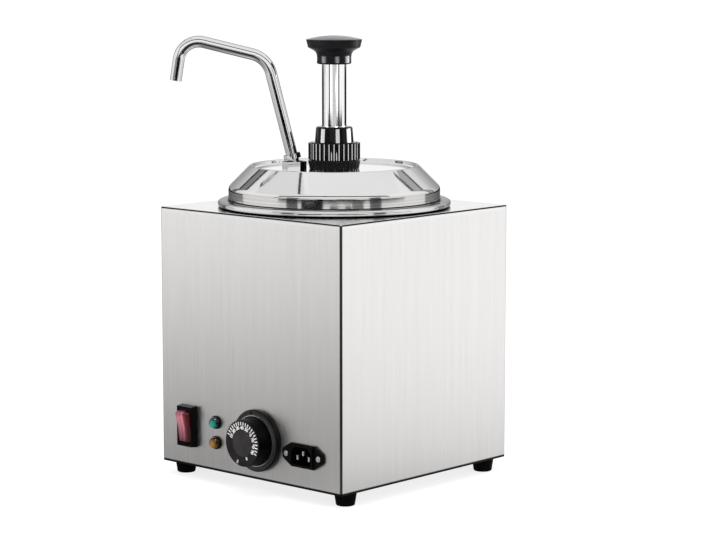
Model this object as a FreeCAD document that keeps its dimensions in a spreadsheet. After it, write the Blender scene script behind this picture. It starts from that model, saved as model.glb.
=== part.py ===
import FreeCAD, Part
import math
import os
from types import SimpleNamespace

import Sketcher
from FreeCAD import Placement, Rotation, Vector

# A counter-top topping warmer. The origin is the middle of the footprint on the counter,
# +Z is up and the front panel faces -Y. Lengths are in millimetres, angles in degrees.

SIZES = {
    # casing
    "casing_side": 232.0,
    "bay_height": 75.5,
    "foot_height": 12.5,
    "casing_sheet": 1.2,
    "casing_bend": 2.5,
    "bottom_flange": 28.0,
    "top_turned_edge": 10.0,
    "top_edge_round": 1.0,
    "sheet_gap": 0.4,
    # feet and their fasteners
    "foot_inset_x": 12.5,
    "foot_inset_y": 19.0,
    "foot_top_radius": 10.5,
    "foot_bottom_radius": 8.5,
    "foot_edge_round": 1.5,
    "foot_recess_radius": 4.4,
    "foot_recess_depth": 6.0,
    "m_four_radius": 2.0,
    "m_four_head_radius": 3.8,
    "m_four_head_height": 2.4,
    "m_four_nut_across_corners": 8.1,
    "m_four_nut_height": 3.2,
    "m_three_radius": 1.5,
    "m_three_head_radius": 2.6,
    "m_three_head_height": 1.3,
    "m_three_nut_across_corners": 6.3,
    "m_three_nut_height": 2.4,
    "screw_clearance": 0.2,
    "thread_gap": 0.05,
    "base_screw_inset": 12.0,
    "base_screw_length": 7.0,
    # vents in the base plate
    "vent_length": 34.0,
    "vent_width": 4.0,
    "vent_pitch": 12.0,
    "vent_row_out": 52.0,
    # well and its insulation
    "well_margin": 18.0,
    "well_sheet": 1.0,
    "well_depth": 166.3,
    "well_corner": 10.0,
    "well_flange_width": 10.0,
    "insulation_thickness": 11.0,
    "insulation_rise": 7.0,
    "insulation_top_gap": 4.0,
    "lining_gap": 0.4,
    # heater under the well
    "heater_plate_margin": 32.0,
    "heater_plate_thickness": 4.0,
    "element_margin": 20.0,
    "element_radius": 4.0,
    "element_pin_radius": 2.0,
    "element_pin_length": 12.0,
    "clamp_plate_edge": 10.0,
    "clamp_plate_thickness": 1.5,
    "clamp_stud_radius": 3.0,
    "clamp_nut_across_corners": 11.5,
    "clamp_nut_height": 5.0,
    "cutout_radius": 8.0,
    "cutout_height": 7.0,
    "cutout_flange_radius": 9.5,
    "cutout_flange_thickness": 1.0,
    "cutout_margin": 21.5,
    # insert pan
    "pan_gap": 5.5,
    "pan_sheet": 1.2,
    "pan_clearance": 13.0,
    "pan_corner": 14.0,
    "ledge_width": 9.0,
    "ledge_height": 6.4,
    "rim_width": 8.2,
    "rim_height": 6.0,
    "rim_inner_gap": 1.2,
    "rim_round": 2.4,
    # lid seal
    "seal_thickness": 0.8,
    "seal_inner_margin": 1.5,
    "seal_edge_gap": 1.3,
    "seal_lip_height": 5.0,
    "seal_lip_thickness": 1.6,
    # lid
    "lid_edge_gap": 1.7,
    "lid_sheet": 1.2,
    "lid_skirt_height": 10.9,
    "lid_cone_height": 21.6,
    "lid_cone_width": 21.3,
    "lid_dish_depth": 4.5,
    "lid_crest_width": 4.0,
    "lid_shoulder_round": 7.0,
    "lid_crest_round": 2.2,
    # pump head, collar, nut and cap
    "neck_radius": 17.5,
    "head_flange_radius": 24.0,
    "head_flange_thickness": 4.2,
    "collar_radius": 24.8,
    "collar_foot_radius": 23.4,
    "collar_height": 9.0,
    "nut_radius": 22.6,
    "nut_height": 16.1,
    "nut_rib_radius": 1.9,
    "nut_edge_round": 0.8,
    "nut_shoulder": 2.2,
    "nut_boss_radius": 14.9,
    "nut_boss_height": 4.2,
    "cap_bottom_radius": 18.2,
    "cap_top_radius": 17.1,
    "cap_height": 14.6,
    "cap_edge_round": 2.0,
    "cap_roof": 6.0,
    "part_fit": 0.1,
    "running_fit": 0.05,
    # plunger
    "plunger_radius": 11.45,
    "plunger_wall": 1.2,
    "plunger_shown": 58.3,
    "knob_neck_radius": 16.15,
    "knob_neck_height": 5.8,
    "knob_waist_radius": 18.9,
    "knob_waist_height": 12.5,
    "knob_disc_radius": 24.5,
    "knob_disc_height": 15.5,
    "knob_radius": 26.3,
    "knob_rim_height": 23.0,
    "knob_height": 26.6,
    "knob_socket_depth": 8.0,
    "knob_edge_round": 1.4,
    "knob_foot_round": 1.5,
    # pump cylinder, piston and spring
    "bore_radius": 13.0,
    "cylinder_wall": 1.5,
    "cylinder_flange_radius": 16.6,
    "cylinder_flange_thickness": 1.6,
    "piston_drop": 68.0,
    "piston_height": 18.0,
    "piston_neck_height": 12.0,
    "piston_gap": 0.4,
    "seal_ring_height": 3.4,
    "seal_ring_width": 2.0,
    "seal_ring_lift": 6.0,
    "wire_radius": 0.9,
    "spring_mean_radius": 11.2,
    "spring_seat_thickness": 1.6,
    "spring_seat_hole": 1.7,
    "spring_seat_hole_out": 6.8,
    "spring_end_gap": 0.1,
    # valve body and riser
    "pump_clearance": 2.4,
    "valve_radius": 17.2,
    "valve_seat_height": 7.4,
    "valve_chamber_height": 20.4,
    "valve_socket_depth": 8.0,
    "valve_round": 2.0,
    "intake_radius": 4.2,
    "intake_chamber_radius": 8.0,
    "intake_ball_radius": 6.0,
    "port_height": 12.4,
    "port_radius": 3.2,
    "arm_radius": 8.2,
    "riser_socket_radius": 9.2,
    "riser_socket_depth": 5.0,
    "outlet_seat_height": 6.0,
    "outlet_chamber_height": 8.0,
    "outlet_seat_radius": 3.0,
    "outlet_chamber_radius": 5.0,
    "outlet_ball_radius": 4.3,
    "ball_seat_gap": 0.08,
    # spout
    "spout_out": 37.6,
    "spout_radius": 5.5,
    "spout_bore": 4.1,
    "spout_base_rise": 3.6,
    "spout_bend_out": 62.7,
    "spout_bend_rise": 103.7,
    "spout_peak_out": 142.2,
    "spout_peak_rise": 123.2,
    "spout_tip_out": 148.6,
    "spout_tip_rise": 82.4,
    "spout_first_bend": 24.0,
    "spout_last_bend": 19.0,
    "riser_thread_radius": 7.6,
    "riser_thread_height": 2.0,
    "riser_shoulder_radius": 9.0,
    "riser_shoulder_height": 5.0,
    "spout_nut_across_corners": 23.0,
    "spout_nut_height": 6.6,
    "ferrule_radius": 8.0,
    # switch
    "side_switch_gap": 26.7,
    "switch_z": 50.8,
    "switch_width": 21.4,
    "switch_height": 39.6,
    "switch_proud": 7.0,
    "switch_corner": 1.6,
    "switch_body_width": 19.8,
    "switch_body_height": 34.0,
    "switch_body_depth": 26.0,
    "switch_opening_width": 17.0,
    "switch_opening_height": 31.6,
    "switch_opening_depth": 12.0,
    "rocker_pivot_depth": 0.5,
    "rocker_pin_radius": 1.5,
    "rocker_pin_length": 1.2,
    "rocker_side_gap": 0.3,
    # lamps
    "switch_lamp_gap": 19.3,
    "lamp_upper_z": 58.7,
    "lamp_lower_z": 39.5,
    "lamp_rim_radius": 6.3,
    "lamp_rim_height": 2.0,
    "lamp_body_radius": 4.9,
    "lamp_body_depth": 18.0,
    "lens_radius": 5.5,
    "lens_height": 7.6,
    "lens_seat": 0.5,
    "lamp_nut_across_corners": 14.0,
    "lamp_nut_height": 2.6,
    # dial and thermostat
    "lamp_dial_gap": 19.55,
    "dial_z": 49.4,
    "bezel_radius": 28.85,
    "bezel_depth": 5.2,
    "bezel_floor": 1.5,
    "bezel_opening": 23.0,
    "bezel_lip_height": 0.9,
    "bezel_lip_width": 0.9,
    "bezel_bevel": 1.2,
    "dial_radius": 21.6,
    "dial_skirt_radius": 22.3,
    "dial_proud": 21.0,
    "dial_skirt_lift": 4.4,
    "dial_wall": 2.0,
    "dial_face_round": 1.2,
    "dial_hub_radius": 6.5,
    "shaft_radius": 3.0,
    "shaft_end_depth": 18.0,
    "shaft_tail": 12.0,
    "thermostat_width": 36.0,
    "thermostat_height": 30.0,
    "thermostat_depth": 24.0,
    "thermostat_round": 2.0,
    "thermostat_screw_out": 14.0,
    "thermostat_screw_length": 9.0,
    # capillary and bulb
    "capillary_radius": 1.0,
    "bulb_radius": 3.0,
    "bulb_length": 64.0,
    "bulb_margin": 20.0,
    "bulb_gap": 0.1,
    "capillary_reach": 16.0,
    "bulb_clip_wall": 0.8,
    "bulb_clip_width": 8.0,
    "bulb_clip_out": 20.0,
    "bulb_clip_foot": 5.0,
    # mains inlet
    "dial_inlet_gap": 4.35,
    "inlet_side_gap": 20.4,
    "inlet_z": 43.1,
    "inlet_length": 50.0,
    "inlet_height": 22.0,
    "inlet_block_width": 28.0,
    "inlet_ear_height": 8.4,
    "inlet_ear_round": 3.6,
    "inlet_flange": 2.4,
    "inlet_collar_width": 27.4,
    "inlet_collar_height": 20.0,
    "inlet_collar_proud": 4.6,
    "inlet_collar_round": 2.4,
    "inlet_body_depth": 26.0,
    "socket_width": 24.2,
    "socket_height": 16.2,
    "socket_bevel": 4.6,
    "socket_depth": 17.0,
    "inlet_screw_pitch": 40.0,
    "inlet_screw_length": 7.5,
    "pin_width": 2.0,
    "pin_height": 4.0,
    "pin_spacing": 14.0,
    "pin_offset": 2.2,
    "pin_reach": 14.0,
    "pin_tail": 8.0,
    # spade tabs
    "tab_width": 6.3,
    "tab_thickness": 0.8,
    "tab_length": 8.0,
    "tab_seat": 4.0,
    "switch_tab_rise": 8.0,
    "switch_tab_out": 5.0,
    "thermostat_tab_out": 8.5,
    # terminal block and earth stud
    "block_x": -18.0,
    "block_y": 8.0,
    "block_length": 46.0,
    "block_width": 20.0,
    "block_height": 17.0,
    "block_pitch": 14.5,
    "block_screw_out": 5.0,
    "block_screw_depth": 6.0,
    "earth_y": -40.0,
    "earth_stud_height": 16.0,
    "earth_washer_radius": 5.0,
    "earth_washer_thickness": 0.8,
    # leads
    "lead_radius": 1.2,
    "lead_step": 8.0,
    "lead_entry_height": 10.0,
    "lead_rise": 16.0,
    "lead_loop_x": 28.0,
    "lead_loop_height": 25.0,
    # shared by every cut
    "overrun": 2.0,
}

ANGLES = {
    "spout_turn_angle": 42.39,
    "element_open_angle": 40.0,
    "switch_taper_angle": 7.0,
    "rocker_throw_angle": 20.0,
}

BLOCK_WAYS = 3
NUT_RIBS = 30
VENT_SLOTS = 5
SEAT_HOLES = 6
SPRING_TURNS = 12
SPRING_ARCS_PER_TURN = 4

VENT_END_SHARE = 0.45

# The ferrule's ends, along the first straight run of the spout.
FERRULE_LOW_SHARE = 0.054
FERRULE_HIGH_SHARE = 0.1

# The arms of a rocker, in mid travel, end on a circle about the pivot. These are the
# cosine and sine of the two corner directions on that circle.
ROCKER_TOE_ACROSS_SHARE = 0.891
ROCKER_TOE_OUT_SHARE = 0.5
ROCKER_HEEL_ACROSS_SHARE = 0.906
ROCKER_HEEL_IN_SHARE = 0.423
ROCKER_CREST_SHARE = 0.44

# A folded sheet's inner face at a bend of 45 degrees sits back by this share of the sheet.
BEND_SETBACK_SHARE = 0.414
CREST_DROP_SHARE = 1.45

# Where the lens and knob profiles pass between their ends.
LENS_WALL_SHARE = 0.3
KNOB_WAIST_OUT_SHARE = 0.25
KNOB_WAIST_UP_SHARE = 0.62


class Size:
    """A size: its number, and the words of the sheet expression that gives it."""

    def __init__(self, number, words):
        self.number = number
        self.words = words

    def __float__(self):
        return self.number

    def joined(self, sign, other, number):
        words = other.words if isinstance(other, Size) else repr(other)
        return Size(number, f"({self.words} {sign} {words})")

    def __add__(self, other):
        return self.joined("+", other, self.number + float(other))

    def __sub__(self, other):
        return self.joined("-", other, self.number - float(other))

    def __mul__(self, other):
        return self.joined("*", other, self.number * float(other))

    def __truediv__(self, other):
        return self.joined("/", other, self.number / float(other))

    def __neg__(self):
        return Size(-self.number, f"(0 - {self.words})")


DOC = FreeCAD.newDocument("topping_warmer")
SHEET = DOC.addObject("Spreadsheet::Sheet", "Sizes")
for row, (alias, number) in enumerate({**SIZES, **ANGLES}.items(), start=1):
    SHEET.set(f"A{row}", alias)
    SHEET.set(f"B{row}", str(number))
    SHEET.setAlias(f"B{row}", alias)
DOC.recompute()

S = SimpleNamespace(**{alias: Size(number, f"Sizes.{alias}") for alias, number in SIZES.items()})
A = SimpleNamespace(**{alias: Size(number, f"Sizes.{alias}") for alias, number in ANGLES.items()})
NONE = Size(0.0, "0")

UPRIGHT = Rotation()
OUT_OF_PANEL = Rotation(Vector(1, 0, 0), 90)

NODES = []


# Places and expressions


def bind(item, path, size):
    item.setExpression(path, size.words)


def place(item, x=NONE, y=NONE, z=NONE, rotation=UPRIGHT, angle=None):
    """Puts an item at x, y, z. An angle, if given, is a size that turns it about the rotation's axis."""
    item.Placement = Placement(Vector(float(x), float(y), float(z)), rotation)
    bind(item, "Placement.Base.x", x)
    bind(item, "Placement.Base.y", y)
    bind(item, "Placement.Base.z", z)
    if angle is not None:
        bind(item, "Placement.Rotation.Angle", angle)
    return item


def on_panel(item, x, z, depth=NONE):
    """Puts an item on the front panel: its own +Z then points out of the panel."""
    return place(item, x, -(S.casing_side / 2 + depth), z, OUT_OF_PANEL)


def on_lid(item, z=NONE):
    """Turns an item about the pump axis, so that its own -X points along the spout."""
    with_spout = Rotation(Vector(0, 0, 1), float(A.spout_turn_angle))
    return place(item, z=z, rotation=with_spout, angle=A.spout_turn_angle)


def keep(item, label):
    """Names a finished piece and notes that it is one."""
    item.Label = label
    NODES.append(item)
    return item


def group(label, members):
    """Keeps several separate, alike solids as one piece of the list."""
    bundle = DOC.addObject("Part::Compound", label)
    bundle.Links = members
    return keep(bundle, label)


# Sketches


class Corner:
    def __init__(self, x, y, bend=None):
        self.x, self.y, self.bend = x, y, bend
        self.at = Vector(float(x), float(y), 0)


class Via:
    """A point that an arc passes through on its way from one corner to the next."""

    def __init__(self, x, y):
        self.x, self.y = x, y
        self.at = Vector(float(x), float(y), 0)


class Dome:
    """Joins a corner to one on the turning axis with an arc whose centre lies on that axis."""


class Circle:
    def __init__(self, x, y, radius):
        self.x, self.y, self.radius = x, y, radius


def pin_point(sketch, geometry, position, x, y):
    """Holds one point of a sketch at x, y from the sketch's origin."""
    for size, axis, kind in ((x, -2, "DistanceX"), (y, -1, "DistanceY")):
        if size is NONE:
            sketch.addConstraint(Sketcher.Constraint("PointOnObject", geometry, position, axis))
            continue
        index = sketch.addConstraint(
            Sketcher.Constraint(kind, -1, 1, geometry, position, float(size))
        )
        bind(sketch, f"Constraints[{index}]", size)


def pin_radius(sketch, geometry, radius):
    index = sketch.addConstraint(Sketcher.Constraint("Radius", geometry, float(radius)))
    bind(sketch, f"Constraints[{index}]", radius)


def draw_circle(sketch, circle):
    centre = Vector(float(circle.x), float(circle.y), 0)
    index = sketch.addGeometry(Part.Circle(centre, Vector(0, 0, 1), float(circle.radius)), False)
    pin_point(sketch, index, 3, circle.x, circle.y)
    pin_radius(sketch, index, circle.radius)


def trim_of(before, corner, after):
    """How far a bend's ends lie from its corner."""
    if corner.bend is None:
        return 0.0
    one = (before.at - corner.at).normalize()
    two = (after.at - corner.at).normalize()
    return float(corner.bend) / math.tan(one.getAngle(two) / 2)


def draw_line_side(sketch, points, place_in_list, closed):
    count = len(points)
    start, end = points[place_in_list], points[(place_in_list + 1) % count]
    way = (end.at - start.at).normalize()
    first, last = start.at, end.at
    if closed or place_in_list > 0:
        first = start.at + way * trim_of(points[place_in_list - 1], start, end)
    if closed or place_in_list < count - 2:
        last = end.at - way * trim_of(start, end, points[(place_in_list + 2) % count])
    return sketch.addGeometry(Part.LineSegment(first, last), False), 1, 2


def draw_arc(sketch, first, middle, last):
    """Adds an arc counter-clockwise. Gives its index and the points at first and last."""
    one, two = middle - first, last - middle
    if one.x * two.y - one.y * two.x > 0:
        return sketch.addGeometry(Part.Arc(first, middle, last), False), 1, 2
    return sketch.addGeometry(Part.Arc(last, middle, first), False), 2, 1


def draw_dome_side(sketch, start, end):
    rise = end.at.y - start.at.y
    radius = (start.at.x**2 + rise**2) / (2 * rise)
    across = start.at.x / 2
    middle = Vector(across, end.at.y - radius + math.sqrt(radius**2 - across**2), 0)
    index, head, tail = draw_arc(sketch, start.at, middle, end.at)
    sketch.addConstraint(Sketcher.Constraint("PointOnObject", index, 3, -2))
    return index, head, tail


def draw_arc_side(sketch, start, via, end):
    if isinstance(via, Dome):
        return draw_dome_side(sketch, start, end)
    index, head, tail = draw_arc(sketch, start.at, via.at, end.at)
    marker = sketch.addGeometry(Part.Point(via.at), True)
    pin_point(sketch, marker, 1, via.x, via.y)
    sketch.addConstraint(Sketcher.Constraint("PointOnObject", marker, 1, index))
    return index, head, tail


def draw_bend(sketch, before, corner, after, side_in, side_out):
    """Rounds a corner with an arc that is tangent to both of its sides."""
    one = (before.at - corner.at).normalize()
    two = (after.at - corner.at).normalize()
    half = one.getAngle(two) / 2
    radius = float(corner.bend)
    reach = radius / math.tan(half)
    first, last = corner.at + one * reach, corner.at + two * reach
    centre = corner.at + (one + two).normalize() * (radius / math.sin(half))
    middle = centre + (corner.at - centre).normalize() * radius
    index, head, tail = draw_arc(sketch, first, middle, last)
    marker = sketch.addGeometry(Part.Point(corner.at), True)
    pin_point(sketch, marker, 1, corner.x, corner.y)
    sketch.addConstraint(Sketcher.Constraint("PointOnObject", marker, 1, side_in[0]))
    sketch.addConstraint(Sketcher.Constraint("PointOnObject", marker, 1, side_out[0]))
    sketch.addConstraint(Sketcher.Constraint("Tangent", side_in[0], side_in[2], index, head))
    sketch.addConstraint(Sketcher.Constraint("Tangent", index, tail, side_out[0], side_out[1]))
    pin_radius(sketch, index, corner.bend)


def draw_outline(sketch, points, closed=True):
    """Draws corners joined by lines, or by an arc where a Via or Dome stands between two."""
    corners = [point for point in points if isinstance(point, Corner)]
    vias = {}
    for spot, point in enumerate(points):
        if isinstance(point, (Via, Dome)):
            vias[corners.index(points[spot - 1])] = point
    count = len(corners)
    sides = []
    for spot in range(count if closed else count - 1):
        if spot in vias:
            after = corners[(spot + 1) % count]
            sides.append(draw_arc_side(sketch, corners[spot], vias[spot], after))
        else:
            sides.append(draw_line_side(sketch, corners, spot, closed))
    for spot, corner in enumerate(corners):
        if not closed and spot in (0, count - 1):
            side = sides[0] if spot == 0 else sides[-1]
            pin_point(sketch, side[0], side[1] if spot == 0 else side[2], corner.x, corner.y)
            continue
        side_in, side_out = sides[spot - 1], sides[spot]
        if corner.bend is None:
            sketch.addConstraint(
                Sketcher.Constraint("Coincident", side_in[0], side_in[2], side_out[0], side_out[1])
            )
            pin_point(sketch, side_out[0], side_out[1], corner.x, corner.y)
        else:
            after = corners[(spot + 1) % count]
            draw_bend(sketch, corners[spot - 1], corner, after, side_in, side_out)


def draw(sketch, shapes):
    for shape in shapes:
        if isinstance(shape, Circle):
            draw_circle(sketch, shape)
        else:
            draw_outline(sketch, shape)


def rectangle(width, height, bend=None, x=NONE, y=NONE):
    left, right = x - width / 2, x + width / 2
    low, high = y - height / 2, y + height / 2
    return [
        Corner(left, low, bend),
        Corner(right, low, bend),
        Corner(right, high, bend),
        Corner(left, high, bend),
    ]


def new_body(name):
    return DOC.addObject("PartDesign::Body", name)


def plane_of(body, role):
    return next(plane for plane in body.Origin.OriginFeatures if plane.Role == role)


def new_sketch(body, role, shapes, lift=NONE):
    """A sketch on one of the body's own planes, lifted along that plane's normal."""
    sketch = body.newObject("Sketcher::SketchObject", "outline")
    sketch.AttachmentSupport = [(plane_of(body, role), "")]
    sketch.MapMode = "FlatFace"
    sketch.AttachmentOffset = Placement(Vector(0, 0, float(lift)), UPRIGHT)
    if lift is not NONE:
        bind(sketch, "AttachmentOffset.Base.z", lift)
    draw(sketch, shapes)
    return sketch


# Features


def pad(body, role, shapes, length, lift=NONE, back=False, taper=None):
    """Adds along the plane's normal, or against it. Stops the build if it adds nothing."""
    DOC.recompute()
    volume = body.Shape.Volume if body.Tip else 0.0
    feature = body.newObject("PartDesign::Pad", "pad")
    feature.Profile = new_sketch(body, role, shapes, lift)
    feature.Length = float(length)
    bind(feature, "Length", length)
    feature.Reversed = back
    if taper is not None:
        feature.TaperAngle = float(taper)
        bind(feature, "TaperAngle", taper)
    DOC.recompute()
    if body.Shape.Volume < volume * 1.000001:
        raise RuntimeError(f"a pad in {body.Name} adds nothing")
    return feature


def pocket(body, role, shapes, length, lift=NONE, along=False):
    """Cuts against the plane's normal, or along it. Stops the build if it removes nothing."""
    DOC.recompute()
    volume = body.Shape.Volume
    feature = body.newObject("PartDesign::Pocket", "pocket")
    feature.Profile = new_sketch(body, role, shapes, lift)
    feature.Length = float(length)
    bind(feature, "Length", length)
    feature.Reversed = along
    DOC.recompute()
    if body.Shape.Volume > volume * 0.999999:
        raise RuntimeError(f"a pocket in {body.Name} cuts nothing")
    return feature


def revolve(body, outline, kind="PartDesign::Revolution"):
    """Turns an outline, given as radius and height, about the body's own Z axis."""
    sketch = new_sketch(body, "XZ_Plane", [outline])
    feature = body.newObject(kind, "turned")
    feature.Profile = sketch
    feature.ReferenceAxis = (sketch, ["V_Axis"])
    feature.Angle = 360
    return feature


def turned(name, outline):
    body = new_body(name)
    revolve(body, outline)
    return body


def edges_where(shape, test):
    return [f"Edge{spot}" for spot, edge in enumerate(shape.Edges, start=1) if test(edge)]


def round_edges(body, radius, test):
    """Fillets the body's edges that pass the test."""
    DOC.recompute()
    base = body.Tip
    feature = body.newObject("PartDesign::Fillet", "rounded")
    feature.Base = (base, edges_where(base.Shape, test))
    feature.Radius = float(radius)
    bind(feature, "Radius", radius)
    return feature


def repeat_around(body, original, count):
    """Repeats a feature around the body's own Z axis."""
    pattern = body.newObject("PartDesign::PolarPattern", "around")
    pattern.Originals = [original]
    axis = next(line for line in body.Origin.OriginFeatures if line.Role == "Z_Axis")
    pattern.Axis = (axis, [""])
    pattern.Angle = 360
    pattern.Occurrences = count
    body.Tip = pattern
    return pattern


def repeat_along(body, original, role, length, count):
    """Repeats a feature in equal steps along one of the body's own axes."""
    pattern = body.newObject("PartDesign::LinearPattern", "row")
    pattern.Originals = [original]
    axis = next(line for line in body.Origin.OriginFeatures if line.Role == role)
    pattern.Direction = (axis, [""])
    pattern.Length = float(length)
    bind(pattern, "Length", length)
    pattern.Occurrences = count
    body.Tip = pattern
    return pattern


# Primitives


def box(name, length, width, height):
    item = DOC.addObject("Part::Box", name)
    for path, size in (("Length", length), ("Width", width), ("Height", height)):
        setattr(item, path, float(size))
        bind(item, path, size)
    return item


def cylinder(name, radius, height):
    item = DOC.addObject("Part::Cylinder", name)
    for path, size in (("Radius", radius), ("Height", height)):
        setattr(item, path, float(size))
        bind(item, path, size)
    return item


def prism(name, across_corners, height):
    """A hexagonal bar."""
    item = DOC.addObject("Part::Prism", name)
    item.Polygon = 6
    item.Circumradius = float(across_corners / 2)
    bind(item, "Circumradius", across_corners / 2)
    item.Height = float(height)
    bind(item, "Height", height)
    return item


def cut(name, base, tool):
    item = DOC.addObject("Part::Cut", name)
    item.Base, item.Tool = base, tool
    return item


def fuse(name, one, two):
    item = DOC.addObject("Part::Fuse", name)
    item.Base, item.Tool = one, two
    return item


def hex_nut(name, across_corners, height, bore):
    """A hexagonal nut that stands on its own XY plane."""
    hole = place(cylinder(f"{name}_bore", bore, height + S.overrun * 2), z=-S.overrun)
    return cut(name, prism(f"{name}_bar", across_corners, height), hole)


def headed_screw(name, head_radius, head_height, shank_radius, shank_length):
    """A screw whose head stands on its own XY plane, with the shank below it."""
    return turned(
        name,
        [
            Corner(NONE, -shank_length),
            Corner(shank_radius, -shank_length),
            Corner(shank_radius, NONE),
            Corner(head_radius, NONE),
            Corner(head_radius, head_height, head_height / 2),
            Corner(NONE, head_height),
        ],
    )


# Heights and places that several pieces share

CASING_BOTTOM = S.foot_height
BASE_BOTTOM = CASING_BOTTOM + S.casing_sheet
BASE_TOP = BASE_BOTTOM + S.casing_sheet
WELL_FLOOR = CASING_BOTTOM + S.bay_height
WRAP_TOP = WELL_FLOOR + S.well_depth
CASING_TOP = WRAP_TOP + S.casing_sheet
WALL_INSIDE = S.casing_side / 2 - S.casing_sheet
WELL_RADIUS = S.casing_side / 2 - S.well_margin
WELL_FLANGE_RADIUS = WELL_RADIUS + S.well_flange_width
HEATER_PLATE_RADIUS = WELL_RADIUS - S.heater_plate_margin
ELEMENT_RING_RADIUS = HEATER_PLATE_RADIUS - S.element_margin
CLAMP_PLATE_RADIUS = ELEMENT_RING_RADIUS + S.clamp_plate_edge
CUTOUT_Y = WELL_RADIUS - S.cutout_margin
BULB_Y = S.bulb_margin - WELL_RADIUS
PAN_RADIUS = WELL_RADIUS - S.pan_gap
LEDGE_RADIUS = PAN_RADIUS + S.ledge_width
RIM_RADIUS = LEDGE_RADIUS + S.rim_width
LID_RADIUS = LEDGE_RADIUS - S.lid_edge_gap
CREST_RADIUS = LID_RADIUS - S.lid_cone_width
DISH_RADIUS = CREST_RADIUS - S.lid_crest_width

# The controls stand in a row. Their gaps share what the panel leaves free.
CONTROLS_WIDTH = S.switch_width + S.lamp_rim_radius * 2 + S.bezel_radius * 2 + S.inlet_length
LEFT_GAPS = S.side_switch_gap + S.switch_lamp_gap + S.lamp_dial_gap
GAP_SHARE = (S.casing_side - CONTROLS_WIDTH) / (LEFT_GAPS + S.dial_inlet_gap + S.inlet_side_gap)
SWITCH_X = S.side_switch_gap * GAP_SHARE + S.switch_width / 2 - S.casing_side / 2
LAMP_X = SWITCH_X + S.switch_width / 2 + S.switch_lamp_gap * GAP_SHARE + S.lamp_rim_radius
DIAL_X = LAMP_X + S.lamp_rim_radius + S.lamp_dial_gap * GAP_SHARE + S.bezel_radius
INLET_X = DIAL_X + S.bezel_radius + S.dial_inlet_gap * GAP_SHARE + S.inlet_length / 2

FOOT_X = S.casing_side / 2 - S.foot_inset_x
FOOT_Y = S.casing_side / 2 - S.foot_inset_y
BASE_SCREW_OUT = S.casing_side / 2 - S.base_screw_inset
PANEL_Y = -(S.casing_side / 2)
HEATER_BOTTOM = WELL_FLOOR - S.heater_plate_thickness
ELEMENT_BOTTOM = HEATER_BOTTOM - S.element_radius * 2
CLAMP_BOTTOM = ELEMENT_BOTTOM - S.clamp_plate_thickness
BULB_Z = WELL_FLOOR - S.bulb_radius - S.bulb_gap
LEDGE_Z = CASING_TOP + S.ledge_height
SEAL_TOP = LEDGE_Z + S.seal_thickness
SHOULDER_Z = SEAL_TOP + S.lid_skirt_height
CREST_Z = SHOULDER_Z + S.lid_cone_height
DISH_Z = CREST_Z - S.lid_dish_depth
DISH_UNDER = DISH_Z - S.lid_sheet
COLLAR_TOP = DISH_Z + S.collar_height
NUT_TOP = COLLAR_TOP + S.nut_height
CAP_TOP = NUT_TOP + S.cap_height
KNOB_BOTTOM = CAP_TOP + S.plunger_shown
CYLINDER_TOP = NUT_TOP - S.nut_shoulder
NECK_TOP = CYLINDER_TOP - S.cylinder_flange_thickness
PAN_FLOOR = WELL_FLOOR + S.pan_clearance
VALVE_BOTTOM = PAN_FLOOR + S.pan_sheet + S.pump_clearance
VALVE_SEAT_TOP = VALVE_BOTTOM + S.valve_seat_height
CYLINDER_BOTTOM = VALVE_BOTTOM + S.valve_chamber_height
VALVE_TOP = CYLINDER_BOTTOM + S.valve_socket_depth
SPRING_SEAT_TOP = CYLINDER_BOTTOM + S.spring_seat_thickness
PISTON_BOTTOM = NECK_TOP - S.piston_drop
PLUNGER_LOWER_END = PISTON_BOTTOM + S.piston_height
PORT_Z = VALVE_BOTTOM + S.port_height
OUTLET_SEAT_TOP = PORT_Z + S.outlet_seat_height
RISER_BOTTOM = OUTLET_SEAT_TOP + S.outlet_chamber_height
RISER_SOCKET_TOP = RISER_BOTTOM + S.riser_socket_depth
RISER_SOCKET_BOTTOM = PORT_Z - S.arm_radius
RISER_TOP = DISH_Z + S.riser_thread_height
SPOUT_BASE = DISH_Z + S.spout_base_rise
SPOUT_BEND = DISH_Z + S.spout_bend_rise
SPOUT_PEAK = DISH_Z + S.spout_peak_rise
SPOUT_TIP = DISH_Z + S.spout_tip_rise


# Casing


def make_casing_wrap():
    body = new_body("casing_wrap")
    inner = S.casing_side - S.casing_sheet * 2
    outside = rectangle(S.casing_side, S.casing_side, S.casing_bend)
    inside = rectangle(inner, inner, S.casing_bend - S.casing_sheet)
    pad(body, "XY_Plane", [outside, inside], WRAP_TOP - CASING_BOTTOM, CASING_BOTTOM)
    opening = S.casing_side - S.bottom_flange * 2
    flange = [
        rectangle(S.casing_side, S.casing_side, S.casing_bend),
        rectangle(opening, opening),
    ]
    pad(body, "XY_Plane", flange, S.casing_sheet, CASING_BOTTOM)
    pocket(body, "XY_Plane", base_holes(), S.overrun * 2, BASE_BOTTOM + S.overrun)
    pocket(body, "XZ_Plane", panel_openings(), S.casing_sheet + S.overrun, S.casing_side / 2)
    keep(body, "casing_wrap")


def base_holes():
    """Holes for the feet's screws and the base plate's own screws."""
    radius = S.m_four_radius + S.screw_clearance
    feet = [Circle(FOOT_X * x, FOOT_Y * y, radius) for x in (-1, 1) for y in (-1, 1)]
    sides = [
        Circle(BASE_SCREW_OUT, NONE, radius),
        Circle(-BASE_SCREW_OUT, NONE, radius),
        Circle(NONE, BASE_SCREW_OUT, radius),
        Circle(NONE, -BASE_SCREW_OUT, radius),
    ]
    return feet + sides


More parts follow.
